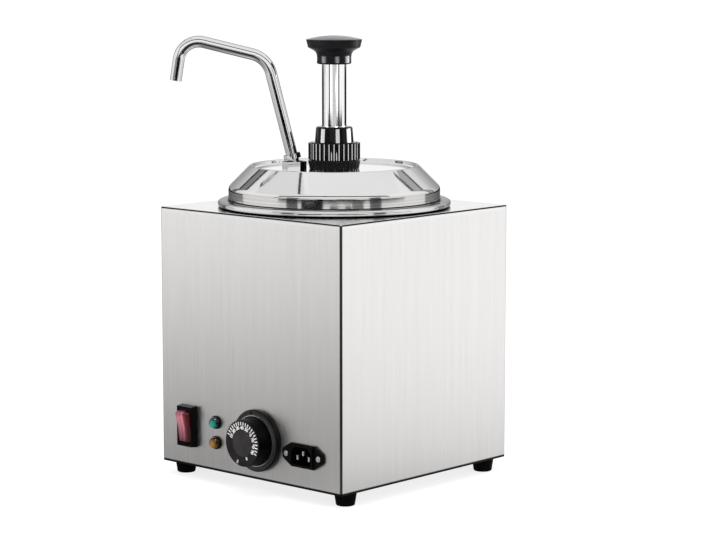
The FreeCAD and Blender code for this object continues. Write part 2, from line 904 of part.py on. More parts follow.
def panel_openings():
    """Openings in the front panel, in the panel's own X and Z."""
    switch = rectangle(
        S.switch_body_width + S.sheet_gap,
        S.switch_body_height + S.sheet_gap,
        x=SWITCH_X,
        y=S.switch_z,
    )
    inlet = rectangle(
        S.inlet_collar_width + S.sheet_gap,
        S.inlet_collar_height + S.sheet_gap,
        x=INLET_X,
        y=S.inlet_z,
    )
    lamps = [
        Circle(LAMP_X, z, S.lamp_body_radius + S.sheet_gap / 2)
        for z in (S.lamp_upper_z, S.lamp_lower_z)
    ]
    shaft = [Circle(DIAL_X, S.dial_z, S.shaft_radius + S.sheet_gap * 2)]
    small = S.m_three_radius + S.screw_clearance
    dial_screws = [
        Circle(DIAL_X + S.thermostat_screw_out * side, S.dial_z, small) for side in (-1, 1)
    ]
    inlet_screws = [
        Circle(INLET_X + S.inlet_screw_pitch / 2 * side, S.inlet_z, small) for side in (-1, 1)
    ]
    return [switch, inlet] + lamps + shaft + dial_screws + inlet_screws


def make_top_plate():
    body = new_body("top_plate")
    hole = Circle(NONE, NONE, WELL_RADIUS - S.well_sheet)
    plate = rectangle(S.casing_side, S.casing_side, S.casing_bend)
    pad(body, "XY_Plane", [plate, hole], S.casing_sheet, WRAP_TOP)
    outer = (WALL_INSIDE - S.sheet_gap) * 2
    turned_edge = [
        rectangle(outer, outer, S.casing_bend),
        rectangle(outer - S.casing_sheet * 2, outer - S.casing_sheet * 2),
    ]
    pad(body, "XY_Plane", turned_edge, S.top_turned_edge, WRAP_TOP - S.top_turned_edge)
    top = float(CASING_TOP)
    hole_radius = float(WELL_RADIUS - S.well_sheet)

    def outer_top_edge(edge):
        box_of = edge.BoundBox
        level = abs(box_of.ZMin - top) < 1e-6 and abs(box_of.ZMax - top) < 1e-6
        reach = max(abs(edge.CenterOfMass.x), abs(edge.CenterOfMass.y))
        return level and reach > hole_radius

    round_edges(body, S.top_edge_round, outer_top_edge)
    keep(body, "top_plate")


def make_base_plate():
    body = new_body("base_plate")
    side = (WALL_INSIDE - S.sheet_gap) * 2
    earth = Circle(INLET_X, S.earth_y, S.m_four_radius + S.thread_gap)
    outline = rectangle(side, side, S.casing_bend)
    pad(body, "XY_Plane", [outline, earth] + base_holes(), S.casing_sheet, BASE_BOTTOM)
    for side_of in (-1, 1):
        slot = rectangle(
            S.vent_width,
            S.vent_length,
            S.vent_width * VENT_END_SHARE,
            x=-(S.vent_pitch * ((VENT_SLOTS - 1) / 2)),
            y=S.vent_row_out * side_of,
        )
        first = pocket(body, "XY_Plane", [slot], S.overrun * 2, BASE_TOP + S.overrun)
        repeat_along(body, first, "X_Axis", S.vent_pitch * (VENT_SLOTS - 1), VENT_SLOTS)
    keep(body, "base_plate")


def foot_places():
    return [(FOOT_X * x, FOOT_Y * y) for x in (-1, 1) for y in (-1, 1)]


def make_feet():
    feet, screws, nuts = [], [], []
    hole = S.m_four_radius + S.screw_clearance
    for x, y in foot_places():
        foot = turned(
            "foot",
            [
                Corner(S.foot_recess_radius, NONE),
                Corner(S.foot_bottom_radius, NONE, S.foot_edge_round),
                Corner(S.foot_top_radius, S.foot_height),
                Corner(hole, S.foot_height),
                Corner(hole, S.foot_recess_depth),
                Corner(S.foot_recess_radius, S.foot_recess_depth),
            ],
        )
        feet.append(place(foot, x, y))
        length = BASE_TOP + S.m_four_nut_height - S.foot_recess_depth + S.thread_gap
        screw = headed_screw(
            "foot_screw", S.m_four_head_radius, S.m_four_head_height, S.m_four_radius, length
        )
        screws.append(place(screw, x, y, S.foot_recess_depth, Rotation(Vector(1, 0, 0), 180)))
        nut = hex_nut(
            "foot_nut",
            S.m_four_nut_across_corners,
            S.m_four_nut_height,
            S.m_four_radius + S.thread_gap,
        )
        nuts.append(place(nut, x, y, BASE_TOP))
    group("feet", feet)
    group("foot_screws", screws)
    group("foot_nuts", nuts)


def make_base_screws():
    screws = []
    for x, y in (
        (BASE_SCREW_OUT, NONE),
        (-BASE_SCREW_OUT, NONE),
        (NONE, BASE_SCREW_OUT),
        (NONE, -BASE_SCREW_OUT),
    ):
        screw = headed_screw(
            "base_screw",
            S.m_four_head_radius,
            S.m_four_head_height,
            S.m_four_radius,
            S.base_screw_length,
        )
        screws.append(place(screw, x, y, CASING_BOTTOM, Rotation(Vector(1, 0, 0), 180)))
    group("base_screws", screws)


# Well and heater


def make_water_well():
    inside = WELL_RADIUS - S.well_sheet
    body = turned(
        "water_well",
        [
            Corner(NONE, WELL_FLOOR),
            Corner(WELL_RADIUS, WELL_FLOOR, S.well_corner),
            Corner(WELL_RADIUS, WRAP_TOP - S.well_sheet),
            Corner(WELL_FLANGE_RADIUS, WRAP_TOP - S.well_sheet),
            Corner(WELL_FLANGE_RADIUS, WRAP_TOP),
            Corner(inside, WRAP_TOP),
            Corner(inside, WELL_FLOOR + S.well_sheet, S.well_corner - S.well_sheet),
            Corner(NONE, WELL_FLOOR + S.well_sheet),
        ],
    )
    stud = WELL_FLOOR - CLAMP_BOTTOM + S.clamp_nut_height + S.overrun
    pad(body, "XY_Plane", [Circle(NONE, NONE, S.clamp_stud_radius)], stud, WELL_FLOOR - stud)
    keep(body, "water_well")


def make_insulation():
    inner = WELL_RADIUS + S.lining_gap
    outer = inner + S.insulation_thickness
    top = WRAP_TOP - S.top_turned_edge - S.insulation_top_gap
    body = turned(
        "insulation_sleeve",
        [
            Corner(inner, WELL_FLOOR + S.insulation_rise),
            Corner(outer, WELL_FLOOR + S.insulation_rise),
            Corner(outer, top),
            Corner(inner, top),
        ],
    )
    keep(body, "insulation_sleeve")


def make_heater():
    hole = S.clamp_stud_radius + S.screw_clearance
    plate = turned(
        "heater_plate",
        [
            Corner(hole, HEATER_BOTTOM),
            Corner(HEATER_PLATE_RADIUS, HEATER_BOTTOM),
            Corner(HEATER_PLATE_RADIUS, WELL_FLOOR),
            Corner(hole, WELL_FLOOR),
        ],
    )
    keep(plate, "heater_plate")

    ring = DOC.addObject("Part::Torus", "element_ring")
    ring.Radius1 = float(ELEMENT_RING_RADIUS)
    ring.Radius2 = float(S.element_radius)
    ring.Angle3 = 360 - float(A.element_open_angle)
    bind(ring, "Radius1", ELEMENT_RING_RADIUS)
    bind(ring, "Radius2", S.element_radius)
    bind(ring, "Angle3", Size(360.0, "360") - A.element_open_angle)
    place(ring, z=HEATER_BOTTOM - S.element_radius)
    item = ring
    for angle in (A.element_open_angle * 0, -A.element_open_angle):
        turn = math.radians(float(angle))
        pin = cylinder("element_pin", S.element_pin_radius, S.element_pin_length)
        spot = Vector(math.cos(turn), math.sin(turn), 0) * float(ELEMENT_RING_RADIUS)
        low = float(HEATER_BOTTOM - S.element_radius - S.element_pin_length)
        pin.Placement = Placement(Vector(spot.x, spot.y, low), UPRIGHT)
        bind(pin, "Placement.Base.x", Size(spot.x, ring_words("cos", angle)))
        bind(pin, "Placement.Base.y", Size(spot.y, ring_words("sin", angle)))
        bind(pin, "Placement.Base.z", HEATER_BOTTOM - S.element_radius - S.element_pin_length)
        item = fuse("element", item, pin)
    keep(item, "heater_element")

    clamp = turned(
        "heater_clamp_plate",
        [
            Corner(hole, CLAMP_BOTTOM),
            Corner(CLAMP_PLATE_RADIUS, CLAMP_BOTTOM),
            Corner(CLAMP_PLATE_RADIUS, ELEMENT_BOTTOM),
            Corner(hole, ELEMENT_BOTTOM),
        ],
    )
    for side in (0, -1):
        turn = math.radians(float(A.element_open_angle) * side)
        x = Size(
            math.cos(turn) * float(ELEMENT_RING_RADIUS),
            ring_words("cos", A.element_open_angle * side),
        )
        y = Size(
            math.sin(turn) * float(ELEMENT_RING_RADIUS),
            ring_words("sin", A.element_open_angle * side),
        )
        hole_for_pin = Circle(x, NONE if side == 0 else y, S.element_pin_radius * 2)
        pocket(clamp, "XY_Plane", [hole_for_pin], S.overrun * 2, ELEMENT_BOTTOM + S.overrun)
    keep(clamp, "heater_clamp_plate")

    nut = hex_nut(
        "clamp_nut",
        S.clamp_nut_across_corners,
        S.clamp_nut_height,
        S.clamp_stud_radius + S.thread_gap,
    )
    keep(place(nut, z=CLAMP_BOTTOM - S.clamp_nut_height), "clamp_nut")


def ring_words(function, angle):
    """The sheet words for a place on the element's ring."""
    return f"({ELEMENT_RING_RADIUS.words} * {function}({angle.words} * 1 deg))"


def make_thermal_cutout():
    top = S.cutout_height + S.cutout_flange_thickness
    body = turned(
        "thermal_cutout",
        [
            Corner(NONE, -top),
            Corner(S.cutout_radius, -top, S.cutout_flange_thickness),
            Corner(S.cutout_radius, -S.cutout_flange_thickness),
            Corner(S.cutout_flange_radius, -S.cutout_flange_thickness),
            Corner(S.cutout_flange_radius, NONE),
            Corner(NONE, NONE),
        ],
    )
    keep(place(body, y=CUTOUT_Y, z=WELL_FLOOR), "thermal_cutout")


# Thermostat, dial, capillary


def make_thermostat():
    body = new_body("thermostat_body")
    case = rectangle(S.thermostat_width, S.thermostat_height, S.thermostat_round)
    front = -S.casing_sheet
    pad(body, "XY_Plane", [case], S.thermostat_depth, front, back=True)
    bore = [Circle(NONE, NONE, S.shaft_radius + S.running_fit)]
    pocket(body, "XY_Plane", bore, S.shaft_tail + S.running_fit * 2, front)
    screw_holes = [
        Circle(S.thermostat_screw_out * side, NONE, S.m_three_radius + S.thread_gap)
        for side in (-1, 1)
    ]
    pocket(body, "XY_Plane", screw_holes, S.thermostat_screw_length, front)
    slots = [
        rectangle(S.tab_width + S.part_fit, S.tab_thickness + S.part_fit, x=x)
        for x in (-S.thermostat_tab_out, S.thermostat_tab_out)
    ]
    rear = front - S.thermostat_depth
    pocket(body, "XY_Plane", slots, S.tab_seat + S.part_fit, rear, along=True)
    keep(on_panel(body, DIAL_X, S.dial_z), "thermostat_body")

    screws = []
    for side in (-1, 1):
        length = S.thermostat_screw_length - S.overrun + S.bezel_floor + S.casing_sheet
        screw = headed_screw(
            "thermostat_screw",
            S.m_three_head_radius,
            S.m_three_head_height,
            S.m_three_radius,
            length,
        )
        x = DIAL_X + S.thermostat_screw_out * side
        screws.append(on_panel(screw, x, S.dial_z, S.bezel_floor))
    group("thermostat_screws", screws)


def make_dial_bezel():
    body = turned(
        "dial_bezel",
        [
            Corner(S.shaft_radius + S.sheet_gap * 2, NONE),
            Corner(S.bezel_radius, NONE),
            Corner(S.bezel_radius, S.bezel_depth - S.bezel_bevel),
            Corner(S.bezel_radius - S.bezel_bevel, S.bezel_depth),
            Corner(S.bezel_opening + S.bezel_lip_width * 2, S.bezel_depth - S.bezel_lip_height / 2),
            Corner(S.bezel_opening + S.bezel_lip_width, S.bezel_depth + S.bezel_lip_height),
            Corner(S.bezel_opening, S.bezel_depth + S.bezel_lip_height),
            Corner(S.bezel_opening, S.bezel_floor),
            Corner(S.shaft_radius + S.sheet_gap * 2, S.bezel_floor),
        ],
    )
    holes = [
        Circle(S.thermostat_screw_out * side, NONE, S.m_three_radius + S.screw_clearance)
        for side in (-1, 1)
    ]
    pocket(body, "XY_Plane", holes, S.bezel_floor + S.overrun, S.bezel_floor + S.overrun / 2)
    keep(on_panel(body, DIAL_X, S.dial_z), "dial_bezel")


def make_dial_knob():
    inner = S.dial_radius - S.dial_wall
    roof = S.dial_proud - S.dial_wall
    hub_low = S.dial_skirt_lift + S.dial_wall
    bore = S.shaft_radius
    body = turned(
        "dial_knob",
        [
            Corner(S.dial_skirt_radius - S.dial_wall, S.dial_skirt_lift),
            Corner(S.dial_skirt_radius, S.dial_skirt_lift),
            Corner(S.dial_radius, S.dial_proud, S.dial_face_round),
            Corner(NONE, S.dial_proud),
            Corner(NONE, S.shaft_end_depth),
            Corner(bore, S.shaft_end_depth),
            Corner(bore, hub_low),
            Corner(S.dial_hub_radius, hub_low),
            Corner(S.dial_hub_radius, roof),
            Corner(inner, roof),
        ],
    )
    keep(on_panel(body, DIAL_X, S.dial_z), "dial_knob")


def make_thermostat_shaft():
    body = turned(
        "thermostat_shaft",
        [
            Corner(NONE, -(S.casing_sheet + S.shaft_tail)),
            Corner(S.shaft_radius, -(S.casing_sheet + S.shaft_tail)),
            Corner(S.shaft_radius, S.shaft_end_depth),
            Corner(NONE, S.shaft_end_depth),
        ],
    )
    keep(on_panel(body, DIAL_X, S.dial_z), "thermostat_shaft")


def tube_along(points, bends, radius):
    """A round tube along straight runs joined by tangent arcs, as one solid."""
    edges = []
    start = points[0]
    for spot in range(1, len(points) - 1):
        corner = points[spot]
        one = (points[spot - 1] - corner).normalize()
        two = (points[spot + 1] - corner).normalize()
        half = one.getAngle(two) / 2
        reach = bends[spot - 1] / math.tan(half)
        first, last = corner + one * reach, corner + two * reach
        centre = corner + (one + two).normalize() * (bends[spot - 1] / math.sin(half))
        middle = centre + (corner - centre).normalize() * bends[spot - 1]
        edges.append(Part.LineSegment(start, first).toShape())
        edges.append(Part.Arc(first, middle, last).toShape())
        start = last
    edges.append(Part.LineSegment(start, points[-1]).toShape())
    spine = Part.Wire(edges)
    ring = Part.Circle(points[0], points[1] - points[0], radius).toShape()
    return spine.makePipeShell([Part.Wire([ring])], True, False)


def free_bends(points):
    """The bend radius at each inner point: 0.45 of the shorter run, over the half turn's tangent."""
    bends = []
    for spot in range(1, len(points) - 1):
        one = points[spot - 1] - points[spot]
        two = points[spot + 1] - points[spot]
        half_turn = (math.pi - one.getAngle(two)) / 2
        bends.append(0.45 * min(one.Length, two.Length) / math.tan(half_turn))
    return bends


def vector(x, y, z):
    return Vector(float(x), float(y), float(z))


def tube_piece(name, routes, radius):
    """One or more tubes, each along its own route, as one piece."""
    solids = [tube_along(route, free_bends(route), float(radius)) for route in routes]
    item = DOC.addObject("Part::Feature", name)
    item.Shape = solids[0] if len(solids) == 1 else Part.Compound(solids)
    return item


def make_sensor():
    bulb = cylinder("sensor_bulb", S.bulb_radius, S.bulb_length)
    along_x = Rotation(Vector(0, 1, 0), 90)
    keep(place(bulb, -(S.bulb_length / 2), BULB_Y, BULB_Z, along_x), "sensor_bulb")

    case_top = S.dial_z + S.thermostat_height / 2
    exit_y = PANEL_Y + S.casing_sheet + S.thermostat_depth / 2
    exit_x = DIAL_X + S.thermostat_width / 4
    turn_z = (case_top + BULB_Z) / 2
    out_x = S.bulb_length / 2 + S.capillary_reach
    route = [
        vector(exit_x, exit_y, case_top),
        vector(exit_x, exit_y, turn_z),
        vector(out_x, exit_y, turn_z),
        vector(out_x, BULB_Y, BULB_Z),
        vector(S.bulb_length / 2, BULB_Y, BULB_Z),
    ]
    keep(tube_piece("capillary_tube", [route], S.capillary_radius), "capillary_tube")


def make_bulb_clips():
    clips = []
    inner = S.bulb_radius + S.bulb_gap / 2
    outer = inner + S.bulb_clip_wall
    for side in (-1, 1):
        body = new_body("bulb_clip")
        low = BULB_Z - outer
        outline = [
            Corner(-(outer + S.bulb_clip_foot), WELL_FLOOR),
            Corner(-(outer + S.bulb_clip_foot), WELL_FLOOR - S.bulb_clip_wall),
            Corner(-outer, WELL_FLOOR - S.bulb_clip_wall),
            Corner(-outer, BULB_Z),
            Via(NONE, low),
            Corner(outer, BULB_Z),
            Corner(outer, WELL_FLOOR - S.bulb_clip_wall),
            Corner(outer + S.bulb_clip_foot, WELL_FLOOR - S.bulb_clip_wall),
            Corner(outer + S.bulb_clip_foot, WELL_FLOOR),
            Corner(inner, WELL_FLOOR),
            Corner(inner, BULB_Z),
            Via(NONE, BULB_Z - inner),
            Corner(-inner, BULB_Z),
            Corner(-inner, WELL_FLOOR),
        ]
        pad(body, "YZ_Plane", [outline], S.bulb_clip_width)
        x = S.bulb_clip_out * side - S.bulb_clip_width / 2
        clips.append(place(body, x, BULB_Y))
    group("bulb_clips", clips)


# Switch, lamps, inlet


def make_switch_housing():
    body = new_body("switch_housing")
    back = rectangle(S.switch_body_width, S.switch_body_height)
    pad(body, "XY_Plane", [back], S.switch_body_depth, back=True)
    bezel = rectangle(S.switch_width, S.switch_height, S.switch_corner)
    pad(body, "XY_Plane", [bezel], S.switch_proud, taper=-A.switch_taper_angle)
    opening = rectangle(S.switch_opening_width, S.switch_opening_height)
    depth = S.switch_proud + S.switch_opening_depth
    pocket(body, "XY_Plane", [opening], depth, S.switch_proud)
    pivot = Circle(NONE, S.rocker_pivot_depth, S.rocker_pin_radius + S.running_fit)
    reach = S.switch_opening_width / 2 + S.rocker_pin_length + S.part_fit
    pocket(body, "YZ_Plane", [pivot], reach * 2, -reach, along=True)
    slots = [
        rectangle(
            S.tab_width + S.part_fit,
            S.tab_thickness + S.part_fit,
            x=S.switch_tab_out * x,
            y=S.switch_tab_rise * y,
        )
        for x in (-1, 1)
        for y in (-1, 1)
    ]
    pocket(body, "XY_Plane", slots, S.tab_seat + S.part_fit, -S.switch_body_depth, along=True)
    keep(on_panel(body, SWITCH_X, S.switch_z), "switch_housing")


def make_switch_rocker():
    """The rocker is drawn in mid travel about its pivot, then tilted to the end of its throw."""
    reach = S.switch_opening_height / 2 - S.rocker_side_gap
    width = S.switch_opening_width - S.rocker_side_gap
    toe_x, toe_z = reach * ROCKER_TOE_ACROSS_SHARE, reach * ROCKER_TOE_OUT_SHARE
    heel_x, heel_z = reach * ROCKER_HEEL_ACROSS_SHARE, reach * ROCKER_HEEL_IN_SHARE
    body = new_body("switch_rocker")
    outline = [
        Corner(-heel_x, -heel_z),
        Corner(heel_x, -heel_z),
        Via(reach, NONE),
        Corner(toe_x, toe_z),
        Corner(NONE, reach * ROCKER_CREST_SHARE),
        Corner(-toe_x, toe_z),
        Via(-reach, NONE),
    ]
    pad(body, "YZ_Plane", [outline], width, -(width / 2))
    pin = Circle(NONE, NONE, S.rocker_pin_radius)
    half = S.switch_opening_width / 2 + S.rocker_pin_length
    pad(body, "YZ_Plane", [pin], half * 2, -half)
    angle = Size(90.0, "90") + A.rocker_throw_angle / 2
    y = PANEL_Y - S.rocker_pivot_depth
    tilted = Rotation(Vector(1, 0, 0), float(angle))
    keep(place(body, SWITCH_X, y, S.switch_z, tilted, angle), "switch_rocker")


def spade_tab(name):
    return box(name, S.tab_width, S.tab_thickness, S.tab_length + S.tab_seat)


def make_spade_tabs():
    """Tabs at the back of the switch and of the thermostat."""
    tabs = []
    spots = [
        (SWITCH_X + S.switch_tab_out * x, S.switch_z + S.switch_tab_rise * z, S.switch_body_depth)
        for x in (-1, 1)
        for z in (-1, 1)
    ]
    rear = S.casing_sheet + S.thermostat_depth
    for x in (-S.thermostat_tab_out, S.thermostat_tab_out):
        spots.append((DIAL_X + x, S.dial_z, rear))
    for x, z, depth in spots:
        tab = spade_tab("spade_tab")
        y = PANEL_Y + depth + S.tab_length
        tabs.append(place(tab, x - S.tab_width / 2, y, z - S.tab_thickness / 2, OUT_OF_PANEL))
    group("spade_tabs", tabs)


def make_lamps():
    bodies, nuts = [], []
    lens_names = ("green_lens", "amber_lens")
    for name, z in zip(lens_names, (S.lamp_upper_z, S.lamp_lower_z)):
        seat = S.lens_seat
        wall = S.lens_radius + S.part_fit
        body = turned(
            "lamp_body",
            [
                Corner(NONE, -S.lamp_body_depth),
                Corner(S.lamp_body_radius, -S.lamp_body_depth, S.lens_seat),
                Corner(S.lamp_body_radius, NONE),
                Corner(S.lamp_rim_radius, NONE),
                Corner(S.lamp_rim_radius, S.lamp_rim_height, S.lens_seat),
                Corner(wall, S.lamp_rim_height),
                Corner(wall, seat),
                Corner(NONE, seat),
            ],
        )
        bodies.append(on_panel(body, LAMP_X, z))
        nut = hex_nut(
            "lamp_nut",
            S.lamp_nut_across_corners,
            S.lamp_nut_height,
            S.lamp_body_radius + S.thread_gap,
        )
        nuts.append(on_panel(nut, LAMP_X, z, -(S.casing_sheet + S.lamp_nut_height)))
        lens = turned(
            name,
            [
                Corner(NONE, seat),
                Corner(S.lens_radius, seat),
                Corner(S.lens_radius, S.lens_height * LENS_WALL_SHARE),
                Dome(),
                Corner(NONE, S.lens_height),
            ],
        )
        keep(on_panel(lens, LAMP_X, z), name)
    group("lamp_bodies", bodies)
    group("lamp_nuts", nuts)


def pin_places():
    """Live, neutral and earth, in the inlet's own X and Y."""
    low = -(S.pin_offset)
    return [(-(S.pin_spacing / 2), low), (S.pin_spacing / 2, low), (NONE, S.pin_offset)]


def make_inlet():
    body = new_body("inlet_body")
    half_width = S.inlet_block_width / 2
    half_height = S.inlet_height / 2
    half_length = S.inlet_length / 2
    ear = S.inlet_ear_height / 2
    flange = [
        Corner(-half_width, half_height),
        Corner(-half_length, ear, S.inlet_ear_round),
        Corner(-half_length, -ear, S.inlet_ear_round),
        Corner(-half_width, -half_height),
        Corner(half_width, -half_height),
        Corner(half_length, -ear, S.inlet_ear_round),
        Corner(half_length, ear, S.inlet_ear_round),
        Corner(half_width, half_height),
    ]
    screw_holes = [
        Circle(S.inlet_screw_pitch / 2 * side, NONE, S.m_three_radius + S.screw_clearance)
        for side in (-1, 1)
    ]
    pad(body, "XY_Plane", [flange] + screw_holes, S.inlet_flange)
    collar = rectangle(S.inlet_collar_width, S.inlet_collar_height, S.inlet_collar_round)
    length = S.inlet_collar_proud + S.inlet_body_depth
    pad(body, "XY_Plane", [collar], length, -S.inlet_body_depth)
    half = S.socket_width / 2
    high = S.socket_height / 2
    socket = [
        Corner(-half, -high),
        Corner(half, -high),
        Corner(half, high - S.socket_bevel),
        Corner(half - S.socket_bevel, high),
        Corner(-(half - S.socket_bevel), high),
        Corner(-half, high - S.socket_bevel),
    ]
    pocket(body, "XY_Plane", [socket], S.socket_depth, S.inlet_collar_proud)
    slots = [
        rectangle(S.pin_width + S.part_fit, S.pin_height + S.part_fit, x=x, y=y)
        for x, y in pin_places()
    ]
    pocket(body, "XY_Plane", slots, S.inlet_body_depth, -S.inlet_body_depth, along=True)
    keep(on_panel(body, INLET_X, S.inlet_z), "inlet_body")

    pins = []
    floor = S.inlet_collar_proud - S.socket_depth
    length = S.inlet_body_depth + S.pin_tail + floor + S.pin_reach
    for x, y in pin_places():
        pin = box("inlet_pin", S.pin_width, S.pin_height, length)
        low = S.inlet_z + y - S.pin_height / 2
        depth = -(S.inlet_body_depth + S.pin_tail)
        pins.append(on_panel(pin, INLET_X + x - S.pin_width / 2, low, depth))
    group("inlet_pins", pins)

    screws, nuts = [], []
    for side in (-1, 1):
        x = INLET_X + S.inlet_screw_pitch / 2 * side
        screw = headed_screw(
            "inlet_screw",
            S.m_three_head_radius,
            S.m_three_head_height,
            S.m_three_radius,
            S.inlet_screw_length,
        )
        screws.append(on_panel(screw, x, S.inlet_z, S.inlet_flange))
        nut = hex_nut(
            "inlet_nut",
            S.m_three_nut_across_corners,
            S.m_three_nut_height,
            S.m_three_radius + S.thread_gap,
        )
        nuts.append(on_panel(nut, x, S.inlet_z, -(S.casing_sheet + S.m_three_nut_height)))
    group("inlet_screws", screws)
    group("inlet_nuts", nuts)


# Terminal block, earth stud, leads


def block_screw_places():
    spots = []
    for way in range(BLOCK_WAYS):
        x = S.block_x + S.block_pitch * (way - (BLOCK_WAYS - 1) / 2)
        for side in (-1, 1):
            spots.append((x, S.block_y + S.block_screw_out * side))
    return spots


def make_terminal_block():
    body = new_body("terminal_block")
    outline = rectangle(S.block_length, S.block_width, x=S.block_x, y=S.block_y)
    pad(body, "XY_Plane", [outline], S.block_height, BASE_TOP)
    top = BASE_TOP + S.block_height
    radius = S.m_three_head_radius
    holes = [Circle(x, y, radius + S.part_fit) for x, y in block_screw_places()]
    pocket(body, "XY_Plane", holes, S.block_screw_depth, top)
    keep(body, "terminal_block")
    screws = []
    for x, y in block_screw_places():
        screw = cylinder("terminal_screw", radius, S.block_screw_depth - S.m_three_head_height)
        screws.append(place(screw, x, y, top - S.block_screw_depth))
    group("terminal_screws", screws)


def make_earth_stud():
    stud = place(
        cylinder("earth_bolt", S.m_four_radius, S.earth_stud_height),
        INLET_X,
        S.earth_y,
        BASE_BOTTOM,
    )
    washer = place(
        cylinder("earth_washer", S.earth_washer_radius, S.earth_washer_thickness),
        INLET_X,
        S.earth_y,
        BASE_TOP,
    )
    nut = place(
        prism("earth_bar", S.m_four_nut_across_corners, S.m_four_nut_height),
        INLET_X,
        S.earth_y,
        BASE_TOP + S.earth_washer_thickness,
    )
    keep(fuse("earth_stud", fuse("earth_seat", washer, nut), stud), "earth_stud")


def make_leads():
    """Leads between the inlet, the switch, the thermostat, the block and the element."""
    tail_y = PANEL_Y + S.inlet_body_depth + S.pin_tail
    step = S.lead_step
    spots = [(INLET_X + x, S.inlet_z + y) for x, y in pin_places()]
    live, neutral, earth = spots
    switch_live = SWITCH_X + S.switch_tab_out
    switch_neutral = SWITCH_X - S.switch_tab_out
    switch_low = S.switch_z - S.switch_tab_rise
    switch_high = S.switch_z + S.switch_tab_rise
    tab_y = PANEL_Y + S.switch_body_depth + S.tab_length
    block_front = S.block_y - S.block_width / 2
    block_back = S.block_y + S.block_width / 2
    block_live = S.block_x - S.block_pitch
    block_neutral = S.block_x
    entry_z = BASE_TOP + S.lead_entry_height
    tap_y = PANEL_Y + S.casing_sheet + S.thermostat_depth + S.tab_length
    tap_in = DIAL_X - S.thermostat_tab_out
    tap_out = DIAL_X + S.thermostat_tab_out
    pin_z = HEATER_BOTTOM - S.element_radius - S.element_pin_length
    low_z = pin_z - S.lead_rise
    turn = math.radians(float(A.element_open_angle))
    near_x = ELEMENT_RING_RADIUS * math.cos(turn)
    near_y = -ELEMENT_RING_RADIUS * math.sin(turn)

    live_runs = [
        [
            vector(live[0], tail_y, live[1]),
            vector(live[0], tail_y + step * 2, live[1]),
            vector(switch_live, tail_y + step * 2, switch_low),
            vector(switch_live, tab_y, switch_low),
        ],
        [
            vector(switch_live, tab_y, switch_high),
            vector(switch_live, tab_y + step * 3, switch_high),
            vector(block_live, block_front - step * 3, entry_z),
            vector(block_live, block_front, entry_z),
        ],
        [
            vector(block_live, block_back, entry_z),
            vector(block_live, block_back + step * 3, entry_z),
            vector(tap_in, block_back + step * 3, S.dial_z),
            vector(tap_in, tap_y, S.dial_z),
        ],
        [
            vector(tap_out, tap_y, S.dial_z),
            vector(tap_out, tap_y + step * 3, S.dial_z),
            vector(near_x, near_y, low_z),
            vector(near_x, near_y, pin_z),
        ],
    ]
    keep(tube_piece("live_leads", live_runs, S.lead_radius), "live_leads")

    neutral_runs = [
        [
            vector(neutral[0], tail_y, neutral[1]),
            vector(neutral[0], tail_y + step * 3, neutral[1]),
            vector(switch_neutral, tail_y + step * 3, switch_low),
            vector(switch_neutral, tab_y, switch_low),
        ],
        [
            vector(switch_neutral, tab_y, switch_high),
            vector(switch_neutral, tab_y + step * 4, switch_high),
            vector(block_neutral, block_front - step * 3, entry_z),
            vector(block_neutral, block_front, entry_z),
        ],
        [
            vector(block_neutral, block_back, entry_z),
            vector(block_neutral, block_back + step * 2, entry_z),
            vector(S.lead_loop_x, block_back + step * 2, BASE_TOP + S.lead_loop_height),
            vector(ELEMENT_RING_RADIUS, NONE, low_z),
            vector(ELEMENT_RING_RADIUS, NONE, pin_z),
        ],
    ]
    keep(tube_piece("neutral_leads", neutral_runs, S.lead_radius), "neutral_leads")

    stud_top = BASE_BOTTOM + S.earth_stud_height
    earth_run = [
        vector(earth[0], tail_y, earth[1]),
        vector(earth[0], S.earth_y, earth[1]),
        vector(INLET_X, S.earth_y, stud_top),
    ]
    keep(tube_piece("earth_lead", [earth_run], S.lead_radius), "earth_lead")


# Pan and seal


def make_insert_pan():
    inside = PAN_RADIUS - S.pan_sheet
    under = LEDGE_Z - S.pan_sheet
    rim_inside = LEDGE_RADIUS + S.rim_inner_gap
    body = turned(
        "insert_pan",
        [
            Corner(NONE, PAN_FLOOR),
            Corner(PAN_RADIUS, PAN_FLOOR, S.pan_corner),
            Corner(PAN_RADIUS, under),
            Corner(rim_inside, under),
            Corner(rim_inside, CASING_TOP),
            Corner(RIM_RADIUS, CASING_TOP, S.rim_round),
            Corner(RIM_RADIUS, CASING_TOP + S.rim_height, S.rim_round),
            Corner(LEDGE_RADIUS, CASING_TOP + S.rim_height),
            Corner(LEDGE_RADIUS, LEDGE_Z),
            Corner(inside, LEDGE_Z),
            Corner(inside, PAN_FLOOR + S.pan_sheet, S.pan_corner - S.pan_sheet),
            Corner(NONE, PAN_FLOOR + S.pan_sheet),
        ],
    )
    keep(body, "insert_pan")


def make_lid_seal():
    lip_out = LID_RADIUS - S.lid_sheet - S.sheet_gap
    seal_inside = PAN_RADIUS + S.seal_inner_margin
    seal_outside = LEDGE_RADIUS - S.seal_edge_gap
    body = turned(
        "lid_seal",
        [
            Corner(seal_inside, LEDGE_Z),
            Corner(seal_outside, LEDGE_Z),
            Corner(seal_outside, SEAL_TOP),
            Corner(lip_out, SEAL_TOP),
            Corner(lip_out, SEAL_TOP + S.seal_lip_height),
            Corner(lip_out - S.seal_lip_thickness, SEAL_TOP + S.seal_lip_height),
            Corner(lip_out - S.seal_lip_thickness, SEAL_TOP),
            Corner(seal_inside, SEAL_TOP),
        ],
    )
    keep(body, "lid_seal")


# Lid, collar, nut and cap


